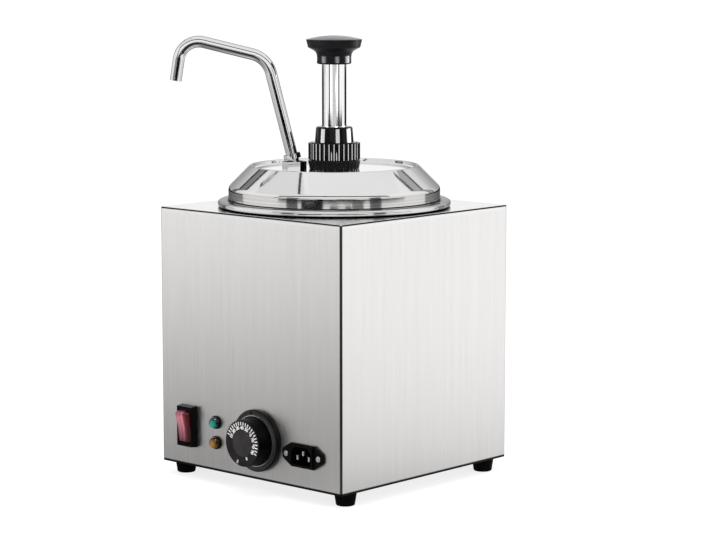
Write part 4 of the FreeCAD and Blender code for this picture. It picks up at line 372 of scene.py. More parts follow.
def rocker_plastic():
    """Clear red plastic with painted light: pale on the left, deep on the right, glowing faintly
    in its colours.
    """
    finish = Finish("rocker_red").set(rough=0.12, specular=0.5, glow=0.12)
    corners = [corner.co / MM for corner in NODE["switch_rocker"].data.vertices]
    left, right = (pick(corner.x for corner in corners) for pick in (min, max))
    low, high = (pick(corner.z for corner in corners) for pick in (min, max))
    cloud = finish.noise(finish.places((90, 90, 60)), detail=2.0)
    wavy = finish.math("MULTIPLY", finish.math("SUBTRACT", cloud, 0.5), 0.16)
    # Across its width, red with painted light: pale on the left, a painted highlight streak near
    # the middle, painted shade deep red on the right.
    tint = finish.ramp(
        finish.math("ADD", finish.above(left, right, "X"), wavy),
        (0.05, (0.34, 0.13, 0.17)), (0.22, (0.62, 0.22, 0.28)), (0.36, (0.46, 0.15, 0.19)),
        (0.46, (0.66, 0.3, 0.35)), (0.56, (0.3, 0.03, 0.05)), (0.74, (0.07, 0.002, 0.005)),
        (1.0, (0.03, 0.001, 0.002)),
    )
    # Painted highlight and painted shade up its height: a bright band high up, dark at the top end
    # and darker towards the bottom.
    depth = finish.ramp(
        finish.math("ADD", finish.above(low, high), wavy),
        (0.0, (0.1, 0.1, 0.12)), (0.12, (0.35, 0.3, 0.33)), (0.3, (0.55, 0.5, 0.53)),
        (0.55, grey(0.85)), (0.78, WHITE), (0.93, (0.5, 0.45, 0.47)), (1.0, (0.1, 0.08, 0.09)),
    )
    mixed = finish.blend(1.0, tint, depth, "MULTIPLY")
    finish.set(color=mixed, glow_color=mixed)
    return finish.bump(cloud, 0.0003, 0.2)


def wool(name):
    finish = Finish(name).set(sheen=0.3)
    fibres = finish.noise(finish.places((300, 300, 40)), detail=6.0, rough=0.8)
    finish.set(
        color=finish.tones(fibres, (0.42, 0.38, 0.22), (0.78, 0.74, 0.55)),
        rough=finish.spread(fibres, 0.8, 0.95),
    )
    return finish.bump(fibres, 0.001, 0.8)


def plated(name, tone, rough=0.25):
    finish = Finish(name).set(metal=1.0)
    cloud = finish.noise(finish.places(), 220.0, detail=4.0)
    finish.set(
        color=finish.tones(cloud, tuple(value * 0.85 for value in tone), tone),
        rough=finish.spread(cloud, rough - 0.07, rough + 0.1),
    )
    return finish.bump(cloud, 0.00001)


TINNED = (0.97, 0.96, 0.93)


def pins_with_painted_shade():
    """Plated pins, left bright at their tips where the highlight shows, and painted dark along
    their sides as painted shade.
    """
    finish = Finish("", plated("pin_brass", TINNED, rough=0.42))
    front = min(corner.co.y for corner in NODE["inlet_pins"].data.vertices) / MM
    behind = finish.above(front + 0.4, front + 1.6, "Y")
    patches = finish.noise(finish.places(), 300.0)
    # Painted shade along the pins' sides.
    dull = finish.tones(patches, (0.12, 0.12, 0.11), (0.2, 0.2, 0.18))
    finish.set(color=finish.blend(behind, color_of(finish), dull))
    return finish.material


def sleeve(name, tone):
    return moulded_plastic(name, tone, rough=0.42, grain=500.0)


def ink(name, tone):
    return moulded_plastic(name, tone, rough=0.45, grain=1600.0, depth=0.000005, shine=0.2)


DIAL = Vector((12.4, -116.0, 49.4)) * MM
FACE_RADIUS = 20.4 * MM


def dial_moulding(name, shine, grain, front, disc, rough, black, disc_grey, face=None):
    """Black moulding about the dial's axis, with a grey disc on its front.

    Front, disc and rough are ranges: depths in millimetres, radii in metres and roughness.
    Black, disc_grey and face are ranges of colour.
    """
    finish = Finish(name).set(specular=shine)
    axes = finish.axes()
    radius = finish.distance(
        finish.math("SUBTRACT", axes["X"], DIAL.x), finish.math("SUBTRACT", axes["Z"], DIAL.z)
    )
    at_front = finish.below(*front, "Y")
    inside = finish.math("MULTIPLY", finish.spread(radius, 1.0, 0.0, *disc), at_front)
    cloud = finish.noise(finish.places(), grain, detail=4.0)
    rest = finish.tones(cloud, *black)
    if face:
        rest = finish.blend(at_front, rest, finish.tones(cloud, *face))
    finish.set(
        color=finish.blend(inside, rest, finish.tones(cloud, *disc_grey)),
        rough=finish.spread(cloud, *rough),
    )
    return finish.bump(finish.noise(finish.places(), 1100.0), 0.00002)


LID_STEEL = polished_steel("lid_polished", 0.8, 0.06, satin_below=273.0, bright_within=75.5)
PAN_STEEL = polished_steel("pan_polished", 0.76, 0.1, painted_shadow_below=257.4)
SPOUT_STEEL = polished_steel("spout_polished", 0.8, 0.045, edge=0.0)
ROD_STEEL = polished_steel("rod_polished", 0.95, 0.06, edge=0.1)
KNOB_BLACK = painted_lit_top(moulded_plastic("knob_black", (0.0015, 0.0015, 0.002), 0.22, shine=0.06))
COLLAR_BLACK = glossy_black("collar_black")
DIAL_BLACK = dial_moulding(
    "dial_black_and_grey", 0.06, 90.0, (-136.9, -136.5),
    (FACE_RADIUS * 0.585, FACE_RADIUS * 0.6), (0.3, 0.42),
    black=(grey(0.0008), grey(0.002)),
    disc_grey=((0.034, 0.031, 0.031), (0.05, 0.046, 0.046)),
    face=((0.015, 0.014, 0.014), (0.025, 0.0235, 0.0235)),
)
BEZEL_BLACK = dial_moulding(
    "bezel_black_and_grey", 0.12, 120.0, (-120.6, -120.3), (27.5 * MM, 27.7 * MM), (0.26, 0.36),
    black=(grey(0.001), grey(0.003)),
    disc_grey=((0.034, 0.033, 0.033), (0.05, 0.048, 0.048)),
)
WHITE_INK = ink("white_ink", (0.82, 0.82, 0.8))
BLACK_INK = ink("black_ink", grey(0.006))
HIGHLIGHT_SILVER = plated("silver_line", grey(0.78))

UPRIGHT_GRAIN = (1500, 1500, 14)
DECK_GRAIN = (1500, 14, 1500)
BASE_GRAIN = (14, 900, 900)

# Each finish with the names of the nodes that wear it.
FINISHES = (
    (brushed_steel("casing_brushed", UPRIGHT_GRAIN, 0.93, 0.31, WALL_EDGES), "casing_wrap"),
    (brushed_steel("deck_brushed", DECK_GRAIN, 0.78, 0.16, DECK_EDGES), "top_plate"),
    (brushed_steel("base_brushed", BASE_GRAIN, 0.6, 0.36),
     "base_plate heater_clamp_plate bulb_clips"),
    (polished_steel("well_drawn", 0.66, 0.2, turned=True), "water_well"),
    (PAN_STEEL, "insert_pan"),
    (LID_STEEL, "lid_shell"),
    (SPOUT_STEEL, "spout_tube spout_nut spout_ferrule riser_tube"),
    (ROD_STEEL, "plunger_tube pump_cylinder spring_seat return_spring"),
    (polished_steel("ball_polished"), "intake_ball outlet_ball"),
    (KNOB_BLACK, "plunger_knob"),
    (COLLAR_BLACK, "collar_base collar_nut pump_cap"),
    (moulded_plastic("panel_black", (0.002, 0.002, 0.0022), 0.26, shine=0.08),
     "switch_housing inlet_body lamp_bodies"),
    (moulded_plastic("thermostat_brown", (0.05, 0.03, 0.02), 0.45),
     "thermostat_body thermal_cutout"),
    (moulded_plastic("pump_white", (0.74, 0.73, 0.7), 0.38),
     "pump_head valve_body piston terminal_block"),
    (soft_rubber("foot_rubber"), "feet piston_seal"),
    (soft_rubber("seal_silicone", (0.02, 0.02, 0.021)), "lid_seal"),
    (plated("zinc_bright", (0.86, 0.87, 0.88), 0.3),
     "foot_screws foot_nuts base_screws thermostat_screws inlet_screws inlet_nuts"
     " terminal_screws earth_stud thermostat_shaft lamp_nuts clamp_nut"),
    (plated("tinned", TINNED, 0.42), "spade_tabs"),
    (pins_with_painted_shade(), "inlet_pins"),
    (plated("copper_worn", (0.75, 0.42, 0.28), 0.35), "sensor_bulb capillary_tube"),
    (plated("element_grey", (0.42, 0.41, 0.4), 0.45), "heater_element"),
    (plated("cast_plate", (0.6, 0.6, 0.61), 0.5), "heater_plate"),
    (wool("mineral_wool"), "insulation_sleeve"),
    (rocker_plastic(), "switch_rocker"),
    (clear_colour("lamp_green", (0.0, 0.012, 0.009), (0.014, 0.36, 0.27), (-41.4, -124.6, 56.4)),
     "green_lens"),
    (clear_colour("lamp_amber", (0.02, 0.008, 0.0), (0.4, 0.19, 0.035), (-41.4, -124.6, 37.4)),
     "amber_lens"),
    (sleeve("lead_brown", (0.1, 0.04, 0.02)), "live_leads"),
    (sleeve("lead_blue", (0.03, 0.1, 0.32)), "neutral_leads"),
    (sleeve("lead_green", (0.12, 0.3, 0.04)), "earth_lead"),
    (DIAL_BLACK, "dial_knob"),
    (BEZEL_BLACK, "dial_bezel"),
)

for material, names in FINISHES:
    for name in names.split():
        NODE[name].data.materials.clear()
        NODE[name].data.materials.append(material)


# Pieces made here


def settle(piece, body, material=None):
    """Bakes the piece's place into its mesh, finishes it and lets it ride on a body."""
    if material is not None:
        piece.data.materials.clear()
        piece.data.materials.append(material)
    piece.data.transform(piece.matrix_world)
    piece.matrix_world = Matrix.Identity(4)
    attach(piece, body)
    return piece


def new_object(name, data):
    made = bpy.data.objects.new(name, data)
    bpy.context.scene.collection.objects.link(made)
    return made


def evaluated_mesh(piece):
    """A piece's mesh with its modifiers or its text worked out."""
    graph = bpy.context.evaluated_depsgraph_get()
    return bpy.data.meshes.new_from_object(piece.evaluated_get(graph))


def on_dial(angle, radius, out):
    """A place on the dial's face. Angles run clockwise from the top, as on a clock."""
    turn = math.radians(angle)
    return DIAL + Vector((radius * math.sin(turn), -out, radius * math.cos(turn)))


def facing_front(place, clockwise):
    """Stands a flat XY drawing up to face -Y, turned clockwise by an angle."""
    turn = Matrix.Rotation(math.radians(clockwise), 4, "Y")
    return Matrix.Translation(place) @ turn @ Matrix.Rotation(math.radians(90), 4, "X")


class Form(Graph):
    """A Geometry Nodes tree with named inputs."""

    def __init__(self, name):
        super().__init__(bpy.data.node_groups.new(name, "GeometryNodeTree"))
        for way in ("INPUT", "OUTPUT"):
            self.tree.interface.new_socket(
                "Geometry", in_out=way, socket_type="NodeSocketGeometry"
            )
        self.start = self.node("NodeGroupInput")
        self.values = {}

    def input(self, name, kind, value):
        socket = self.tree.interface.new_socket(name, in_out="INPUT", socket_type=kind)
        self.values[socket.identifier] = value
        return self.start.outputs[name]

    def made(self, name, geometry, material):
        """Runs the tree and keeps its result as a plain mesh."""
        real = self.out("Geometry", "GeometryNodeRealizeInstances", {"Geometry": geometry})
        values = {"Geometry": real, "Material": material}
        painted = self.out("Geometry", "GeometryNodeSetMaterial", values)
        self.node("NodeGroupOutput", {"Geometry": painted})
        piece = new_object(name, bpy.data.meshes.new(f"{name}_holder"))
        modifier = piece.modifiers.new("tree", "NODES")
        modifier.node_group = self.tree
        for identifier, value in self.values.items():
            modifier[identifier] = value
        mesh = evaluated_mesh(piece)
        piece.modifiers.clear()
        piece.data = mesh
        return piece


BAR_DEPTH = 0.06 * MM


def rim_ticks(name, count, first, last, inner, outer, width, out, material):
    """Radial marks between two clock angles, each a thin raised bar."""
    tree = Form(name)
    number = tree.input("Count", "NodeSocketInt", count)
    start = tree.input("First angle", "NodeSocketFloat", math.radians(first))
    finish = tree.input("Last angle", "NodeSocketFloat", math.radians(last))
    reach = tree.input("Middle radius", "NodeSocketFloat", (inner + outer) / 2)
    size = tree.input("Bar size", "NodeSocketVector", (width, BAR_DEPTH, outer - inner))
    line = tree.out(
        "Mesh", "GeometryNodeMeshLine", {"Count": number, "Offset": (0, 0, 0)}, mode="OFFSET"
    )
    share = tree.math(
        "DIVIDE", tree.out("Index", "GeometryNodeInputIndex"), tree.math("SUBTRACT", number, 1)
    )
    values = {"Value": share, "To Min": start, "To Max": finish}
    angle = tree.out("Result", "ShaderNodeMapRange", values)
    turn = tree.out("Vector", "ShaderNodeCombineXYZ", {"Y": angle})
    values = {"Vector": tree.out("Vector", "ShaderNodeCombineXYZ", {"Z": reach}), "Rotation": turn}
    place = tree.out("Vector", "ShaderNodeVectorRotate", values, rotation_type="EULER_XYZ")
    values = {"Geometry": line, "Position": place}
    moved = tree.out("Geometry", "GeometryNodeSetPosition", values)
    bar = tree.out("Mesh", "GeometryNodeMeshCube", {"Size": size})
    values = {"Points": moved, "Instance": bar, "Rotation": turn}
    bars = tree.out("Instances", "GeometryNodeInstanceOnPoints", values)
    piece = tree.made(name, bars, material)
    piece.matrix_world = Matrix.Translation(DIAL + Vector((0, -out, 0)))
    bpy.context.view_layer.update()
    return piece


FACE_OUT = 21.0 * MM


def letters(name, text, height):
    """A number cut from thin sheet, centred on its own origin."""
    curve = bpy.data.curves.new(name, "FONT")
    curve.body = text
    curve.size = height
    curve.align_x = curve.align_y = "CENTER"
    curve.extrude = 0.03 * MM
    curve.offset = height * 0.045
    holder = new_object(name, curve)
    mesh = evaluated_mesh(holder)
    bpy.data.objects.remove(holder)
    return mesh


def joined(name, meshes):
    """Joins (mesh, place) pairs into one piece."""
    whole = bmesh.new()
    for mesh, place in meshes:
        part = mesh.copy()
        part.transform(place)
        whole.from_mesh(part)
        bpy.data.meshes.remove(part)
    result = bpy.data.meshes.new(name)
    whole.to_mesh(result)
    whole.free()
    return new_object(name, result)


def dial_print():
    """A plain scale with ticks and numbers, an off mark, and the index on the bezel."""
    first, last = -69.0, 115.0
    band = (FACE_RADIUS * 0.82, FACE_RADIUS * 0.98)
    settle(
        rim_ticks("dial_ticks", 21, first, last, *band, 1.1 * MM, FACE_OUT, WHITE_INK), "dial"
    )
    marks = []
    for spot in range(9):
        number = str(10 * spot + 10)
        angle = first + (last - first) * spot / 8
        marks.append(
            (letters(f"number_{number}", number, 4.3 * MM),
             facing_front(on_dial(angle, FACE_RADIUS * 0.705, FACE_OUT), angle))
        )
    marks.append(
        (letters("number_0", "0", 4.0 * MM),
         facing_front(on_dial(156.0, FACE_RADIUS * 0.7, FACE_OUT), 156.0))
    )
    settle(joined("dial_numbers", marks), "dial", WHITE_INK)
    settle(
        rim_ticks("dial_off_tick", 2, 198.0, 199.5, *band, 1.2 * MM, FACE_OUT, WHITE_INK), "dial"
    )
    index = rim_ticks(
        "bezel_index", 2, -9.0, -8.6, 23.9 * MM, 27.6 * MM, 1.3 * MM, 5.21 * MM, BLACK_INK
    )
    settle(index, "casing")


dial_print()


def rounded(corners, steps=10):
    """Outline points from (radius, height) or (radius, height, round) corners, in millimetres."""
    points = []
    for spot, corner in enumerate(corners):
        here = Vector(corner[:2])
        if len(corner) < 3:
            points.append(here)
            continue
        before = (Vector(corners[spot - 1][:2]) - here).normalized()
        after = (Vector(corners[(spot + 1) % len(corners)][:2]) - here).normalized()
        half = math.acos(max(-1.0, min(1.0, before.dot(after)))) / 2
        middle = here + (before + after).normalized() * (corner[2] / math.sin(half))
        start = here + before * (corner[2] / math.tan(half)) - middle
        end = here + after * (corner[2] / math.tan(half)) - middle
        sweep = start.angle_signed(end)
        for step in range(steps + 1):
            turn = Matrix.Rotation(-sweep * step / steps, 2)
            points.append(middle + turn @ start)
    return points


def smooth_piece(name, shape, sharp):
    """Makes a piece of a bmesh, smooth but for its edges past an angle."""
    bmesh.ops.recalc_face_normals(shape, faces=shape.faces)
    mesh = bpy.data.meshes.new(name)
    shape.to_mesh(mesh)
    shape.free()
    mesh.shade_smooth()
    mesh.set_sharp_from_angle(angle=math.radians(sharp))
    return new_object(name, mesh)


def join_rings(shape, one, two):
    """A band of faces between two rings with as many corners."""
    for spot in range(len(one)):
        after = (spot + 1) % len(one)
        shape.faces.new((one[spot], one[after], two[after], two[spot]))


def round_ring(shape, centre, side, other, radius, count):
    """A ring of corners about a centre."""
    turns = [2 * math.pi * step / count for step in range(count)]
    return [
        shape.verts.new(centre + side * radius * math.cos(turn) + other * radius * math.sin(turn))
        for turn in turns
    ]


# Edges that turn by more than this stay sharp, in degrees.
TURNED_SHARP = 28
RIBBED_SHARP = 32
TUBE_SHARP = 40
TINY = 1e-7


def turned_piece(name, corners, place, out, segments=192):
    """A closed outline turned about an axis. Radii run sideways and heights along the axis."""
    outline = [point * MM for point in rounded(corners)]
    side = out.orthogonal().normalized()
    other = out.cross(side)
    shape = bmesh.new()
    rings = []
    for step in range(segments):
        turn = 2 * math.pi * step / segments
        spoke = side * math.cos(turn) + other * math.sin(turn)
        rings.append([
            shape.verts.new(place + spoke * point.x + out * point.y) for point in outline
        ])
    for step, one in enumerate(rings):
        two = rings[(step + 1) % segments]
        for spot, point in enumerate(outline):
            after = (spot + 1) % len(outline)
            if point.x >= TINY or outline[after].x >= TINY:
                shape.faces.new((one[spot], one[after], two[after], two[spot]))
    bmesh.ops.remove_doubles(shape, verts=shape.verts, dist=TINY)
    return smooth_piece(name, shape, TURNED_SHARP)


UP = Vector((0, 0, 1))
AXIS = Vector((0, 0, 0))

# A thin plated ring in the bezel stands in for the highlight along its inner edge: a painted
# highlight.
silver_line = turned_piece(
    "bezel_painted_highlight_line",
    [(23.05, 5.9), (23.85, 5.9), (23.85, 6.25), (23.05, 6.25)],
    DIAL, Vector((0, -1, 0)), segments=96,
)
settle(silver_line, "casing", HIGHLIGHT_SILVER)


def bore(piece, place, radius, low, high):
    """Bores an upright hole through a piece."""
    bpy.ops.mesh.primitive_cylinder_add(
        vertices=64, radius=radius, depth=high - low, location=(place.x, place.y, (low + high) / 2)
    )
    drill = bpy.context.object
    cut = piece.modifiers.new("bore", "BOOLEAN")
    cut.operation = "DIFFERENCE"
    cut.object = drill
    mesh = evaluated_mesh(piece)
    piece.modifiers.clear()
    piece.data = mesh
    bpy.data.objects.remove(drill)
    mesh.set_sharp_from_angle(angle=math.radians(TURNED_SHARP))


SPOUT_AZIMUTH = math.radians(42.39)
SPOUT_SIDE = Vector((math.cos(SPOUT_AZIMUTH), math.sin(SPOUT_AZIMUTH), 0))
SPOUT_FOOT = -37.6

lid = turned_piece(
    "lid_polished",
    [(99.8, 262.72), (99.8, 273.6, 7.0), (78.5, 295.2, 2.2), (74.5, 290.7, 2.2), (17.9, 290.7),
     (17.9, 289.5), (75.0, 289.5, 3.4), (78.5, 293.46, 1.0), (98.6, 273.1, 5.8), (98.6, 262.72)],
    AXIS, UP, segments=256,
)
bore(lid, SPOUT_SIDE * SPOUT_FOOT * MM, 7.8 * MM, 285 * MM, 294 * MM)
settle(lid, "lid", LID_STEEL)
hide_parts("lid_shell")

pan = turned_piece(
    "pan_polished",
    [(0.0, 101.0), (92.5, 101.0, 14.0), (92.5, 260.7), (102.7, 260.7), (102.7, 255.5),
     (109.7, 255.5, 2.4), (109.7, 261.5, 2.4), (101.5, 261.5), (101.5, 261.9), (91.3, 261.9),
     (91.3, 102.2, 12.8), (0.0, 102.2)],
    AXIS, UP, segments=256,
)
settle(pan, "pan", PAN_STEEL)
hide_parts("insert_pan")

rod = turned_piece(
    "plunger_rod_polished",
    [(10.25, 262.0), (11.45, 262.0), (11.45, 396.7), (10.25, 396.7)],
    AXIS, UP,
)
settle(rod, "plunger", ROD_STEEL)
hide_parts("plunger_tube")


def wound_wire(name, radius, wire, low, high, turns, steps=40, sides=14):
    """A round wire wound about the upright axis, its centre line running from low to high."""
    rise = (high - low) / (2 * math.pi * turns)
    shape = bmesh.new()
    rings = []
    for spot in range(turns * steps + 1):
        angle = 2 * math.pi * spot / steps
        outward = Vector((math.cos(angle), math.sin(angle), 0))
        along = Vector((-radius * outward.y, radius * outward.x, rise)).normalized()
        centre = outward * radius + UP * (low + rise * angle)
        rings.append(round_ring(shape, centre, outward, along.cross(outward), wire, sides))
    for one, two in zip(rings, rings[1:]):
        join_rings(shape, one, two)
    shape.faces.new(rings[0])
    shape.faces.new(rings[-1])
    return smooth_piece(name, shape, TUBE_SHARP)


# The spring stands between its seat on the pump and the piston. The real one shortens by the
# stroke; this one rides with the plunger.
spring = wound_wire("spring_polished", 11.2 * MM, 0.9 * MM, 127.6 * MM, 243.0 * MM, 12)
settle(spring, "plunger", ROD_STEEL)
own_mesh(spring)
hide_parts("return_spring")


def spout_line(runs, bends, steps=24):
    """Points and directions along straight runs that are joined by round bends."""
    line = [(runs[0], (runs[1] - runs[0]).normalized())]
    for spot, radius in enumerate(bends, 1):
        before = (runs[spot] - runs[spot - 1]).normalized()
        after = (runs[spot + 1] - runs[spot]).normalized()
        turn = before.angle(after)
        reach = radius * math.tan(turn / 2)
        axis = before.cross(after).normalized()
        start = runs[spot] - before * reach
        middle = start + axis.cross(before) * radius
        for step in range(steps + 1):
            part = Matrix.Rotation(turn * step / steps, 3, axis)
            line.append((middle + part @ (start - middle), part @ before))
    line.append((runs[-1], (runs[-1] - runs[-2]).normalized()))
    return line


def swept_tube(name, line, outer, inner, segments=48):
    """A tube with square ends along a line that lies in one plane."""
    side = (line[0][1].cross(line[-1][1])).normalized()
    shape = bmesh.new()
    skins = []
    for radius in (outer, inner):
        rings = [
            round_ring(shape, place, side, side.cross(ahead).normalized(), radius, segments)
            for place, ahead in line
        ]
        skins.append(rings)
        for one, two in zip(rings, rings[1:]):
            join_rings(shape, one, two)
    for end in (0, -1):
        join_rings(shape, skins[0][end], skins[1][end])
    return smooth_piece(name, shape, TUBE_SHARP)


RUNS = [
    SPOUT_SIDE * across * MM + UP * height * MM
    for across, height in (
        (SPOUT_FOOT, 294.3), (-62.7, 394.4), (-142.2, 413.9), (-148.6, 373.1)
    )
]
spout = swept_tube(
    "spout_polished", spout_line(RUNS, (24 * MM, 19 * MM)), 5.5 * MM, 4.1 * MM
)
settle(spout, "lid", SPOUT_STEEL)
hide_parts("spout_tube")


def arc(start, via, end, steps=24):
    """Points on the circle through three (radius, height) points."""
    one, two, three = Vector(start), Vector(via), Vector(end)
    side, other = two - one, three - one
    double = 2 * (side.x * other.y - side.y * other.x)
    across = (other.y * side.length_squared - side.y * other.length_squared) / double
    up = (side.x * other.length_squared - other.x * side.length_squared) / double
    middle = one + Vector((across, up))
    first, last = one - middle, three - middle
    sweep = first.angle_signed(last)
    return [
        tuple(middle + Matrix.Rotation(-sweep * step / steps, 2) @ first)
        for step in range(steps + 1)
    ]


def dome(reach, rise, top, steps=24):
    """Points on a shallow dome, from its rim to its middle."""
    radius = (reach * reach + rise * rise) / (2 * rise)
    across = [reach * (1 - step / steps) for step in range(steps + 1)]
    return [(place, top - radius + math.sqrt(radius ** 2 - place ** 2)) for place in across]


KNOB_LOW = 388.7
knob = turned_piece(
    "knob_smooth",
    [
        (11.55, KNOB_LOW), (16.15, KNOB_LOW, 1.5),
        *arc((16.15, KNOB_LOW + 5.8), (16.84, KNOB_LOW + 9.95), (18.9, KNOB_LOW + 12.5)),
        (24.5, KNOB_LOW + 15.5, 1.4), *dome(26.3, 3.6, KNOB_LOW + 26.6),
        (0.0, KNOB_LOW + 8.1), (11.55, KNOB_LOW + 8.1),
    ],
    AXIS, UP,
)
settle(knob, "plunger", KNOB_BLACK)
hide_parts("plunger_knob")

cap = turned_piece(
    "cap_smooth",
    [(14.95, 315.8), (18.2, 315.8), (17.1, 330.4, 2.0), (11.5, 330.4), (11.5, 324.4),
     (14.95, 324.4)],
    AXIS, UP,
)
settle(cap, "lid", COLLAR_BLACK)
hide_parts("pump_cap")

RIB_START = 132.39


def ribbed_ring(name, levels, ribs=30, per_rib=24):
    """A ring from (radius, height, rib, flute) levels, in millimetres.

    Round upright ribs stand out of it, and flutes are cut into it.
    """
    shape = bmesh.new()
    count = ribs * per_rib
    rings = []
    for radius, height, rib, flute in levels:
        ring = []
        for step in range(count):
            turn = 2 * math.pi * step / count
            off = (turn * ribs + math.pi) % (2 * math.pi) - math.pi
            off = abs(off) / ribs
            reach = radius - flute * (1 - math.cos(off * ribs / 2))
            aside = radius * math.sin(off)
            if rib and aside < rib:
                reach = max(radius, radius * math.cos(off) + math.sqrt(rib ** 2 - aside ** 2))
            angle = turn + math.radians(RIB_START)
            ring.append(shape.verts.new(
                Vector((reach * math.cos(angle), reach * math.sin(angle), height)) * MM
            ))
        rings.append(ring)
    for spot, one in enumerate(rings):
        join_rings(shape, one, rings[(spot + 1) % len(rings)])
    bmesh.ops.dissolve_degenerate(shape, dist=TINY, edges=shape.edges)
    return smooth_piece(name, shape, RIBBED_SHARP)


base = ribbed_ring(
    "collar_smooth",
    [(17.6, 290.7, 0, 0), (23.4, 290.7, 0, 0), (23.5, 291.3, 0, 0), (23.56, 291.6, 0, 0.9),
     (24.65, 297.5, 0, 0.9), (24.7, 297.8, 0, 0), (24.7, 298.4, 0, 0), (23.4, 299.7, 0, 0),
     (17.6, 299.7, 0, 0)],
)
settle(base, "lid", COLLAR_BLACK)
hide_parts("collar_base")

NUT_EDGE = [
    (21.8 + 0.8 * math.cos(turn), 315.0 + 0.8 * math.sin(turn))
    for turn in (math.radians(18 * step) for step in range(6))
]
NUT_INSIDE = [
    (14.9, 315.8), (14.9, 320.0), (12.7, 320.0), (12.7, 313.6), (17.55, 313.6), (17.55, 299.7)
]
nut = ribbed_ring(
    "nut_smooth",
    [(22.6, 299.7, 1.9, 0), (22.6, 315.0, 1.9, 0), (22.6, 315.0, 0, 0)]
    + [(radius, height, 0, 0) for radius, height in NUT_EDGE + NUT_INSIDE],
)
settle(nut, "lid", COLLAR_BLACK)
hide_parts("collar_nut")


# Stage, lights and camera

# The camera that fits the casing's corners in the photograph.
CAMERA_AZIMUTH = 42.392
CAMERA_PITCH = 7.65
CAMERA_PLACE = (1.5079, -1.6187, 0.4911)
CAMERA_LENS = 118.44
MIDDLE = Vector((0, 0, 0.2))
TO_PLAIN_SIDE = (0.674, 0.738)


def make_floor():
    """A pale floor. Metal sees it darker near the object, above all on the panel's side."""
    bpy.ops.mesh.primitive_grid_add(x_subdivisions=8, y_subdivisions=8, size=60.0)
    floor = bpy.context.object
    floor.name = "floor"
    finish = Finish("pale_floor").set(color=grey(0.9), rough=0.8, specular=0.05)
    values = {0: finish.where()}
    far = finish.out("Value", "ShaderNodeVectorMath", values, operation="LENGTH")
    parts = finish.axes()
    side = finish.sum(parts["X"], TO_PLAIN_SIDE[0], parts["Y"], TO_PLAIN_SIDE[1])
    reach = finish.spread(far, 0.0, 1.0, 0.1, 2.3)
    panel_side = finish.ramp(
        reach,
        (0.0, grey(0.2)), (0.12, (0.28, 0.276, 0.272)), (0.32, (0.46, 0.454, 0.448)),
        (0.6, (0.69, 0.686, 0.682)), (1.0, grey(0.97)),
    )
    plain_side = finish.ramp(
        reach,
        (0.0, grey(0.55)), (0.12, grey(0.76)), (0.32, grey(0.94)), (0.6, WHITE), (1.0, WHITE),
    )
    mirrored = finish.blend(finish.spread(side, 0.0, 1.0, -0.2, 0.2), panel_side, plain_side)
    plain = finish.surface.outputs["BSDF"]
    lit = finish.shown_if(0.45, finish.glowing(WHITE, 0.72), plain)
    seen = finish.out("Shader", "ShaderNodeAddShader", {0: lit, 1: finish.glowing(WHITE, 0.38)})
    path = finish.node("ShaderNodeLightPath").outputs
    camera = finish.shown_if(path["Is Camera Ray"], plain, seen)
    finish.show(finish.shown_if(path["Is Glossy Ray"], camera, finish.glowing(mirrored, 1.0)))
    floor.data.materials.append(finish.material)


def make_world():
    """White where it is seen or mirrored, and a soft light elsewhere."""
    world = bpy.data.worlds.new("soft_studio")
    bpy.context.scene.world = world
    world.use_nodes = True
    graph = Graph(world.node_tree)
    graph.tree.nodes.clear()
    path = graph.node("ShaderNodeLightPath").outputs
    seen = graph.math("MAXIMUM", path["Is Camera Ray"], path["Is Glossy Ray"])
    seen = graph.math("MAXIMUM", seen, path["Is Transmission Ray"])
    light, white = (
        graph.out("Background", "ShaderNodeBackground", {"Color": color, "Strength": strength})
        for color, strength in (((0.97, 0.98, 1.0), 0.6), (WHITE, 1.0))
    )
    graph.node("ShaderNodeOutputWorld", {"Surface": graph.shown_if(seen, light, white)})


def around(azimuth, distance, height):
    """A place round the object. Azimuth 0 is in front of the panel and 90 is at its right."""
    turn = math.radians(azimuth)
    return Vector((math.sin(turn) * distance, -math.cos(turn) * distance, height))


def aim(thing, direction):
    thing.rotation_mode = "QUATERNION"
    thing.rotation_quaternion = direction.to_track_quat("-Z", "Y")


def soft_light(name, azimuth, distance, height, size, power, target=MIDDLE):
    data = bpy.data.lights.new(name, "AREA")
    data.shape = "RECTANGLE"
    data.size, data.size_y = size
    data.energy = power
    lamp = new_object(name, data)
    lamp.location = around(azimuth, distance, height)
    aim(lamp, target - lamp.location)
    return lamp


def card(name, azimuth, distance, height, size, tone, level=False):
    """A grey card that only shiny surfaces see. A level card lies flat instead of standing."""
    bpy.ops.mesh.primitive_plane_add(size=1.0)
    sheet = bpy.context.object
    sheet.name = name
    sheet.location = around(azimuth, distance, height)
    aim(sheet, Vector((0, 0, height)) - sheet.location)
    if level:
        turn = Matrix.Rotation(math.radians(azimuth), 3, "Z")
        sheet.rotation_quaternion = turn.to_quaternion()
    sheet.scale = (*size, 1)
    finish = Finish(name)
    finish.show(finish.glowing(grey(tone), 1.0))
    sheet.data.materials.append(finish.material)
    for sight in ("camera", "diffuse", "shadow", "transmission"):
        setattr(sheet, f"visible_{sight}", False)


def screen(name, start, end, distance, low, high, tone):
    """A standing card between two angles from the camera's side and two heights."""
    width = 2 * distance * math.tan(math.radians(abs(end - start)) / 2)
    middle = CAMERA_AZIMUTH + (start + end) / 2
    card(name, middle, distance, (low + high) / 2, (width, high - low), tone)


def make_camera():
    data = bpy.data.cameras.new("camera")
    data.sensor_width = 36.0
    data.lens = CAMERA_LENS
    data.clip_start = 0.05
    data.clip_end = 60.0
    camera = new_object("camera", data)
    pitch = math.radians(CAMERA_PITCH)
    camera.location = CAMERA_PLACE
    aim(camera, -around(CAMERA_AZIMUTH, math.cos(pitch), math.sin(pitch)))
    bpy.context.scene.camera = camera


make_floor()
make_world()
make_camera()

VIEW = CAMERA_AZIMUTH

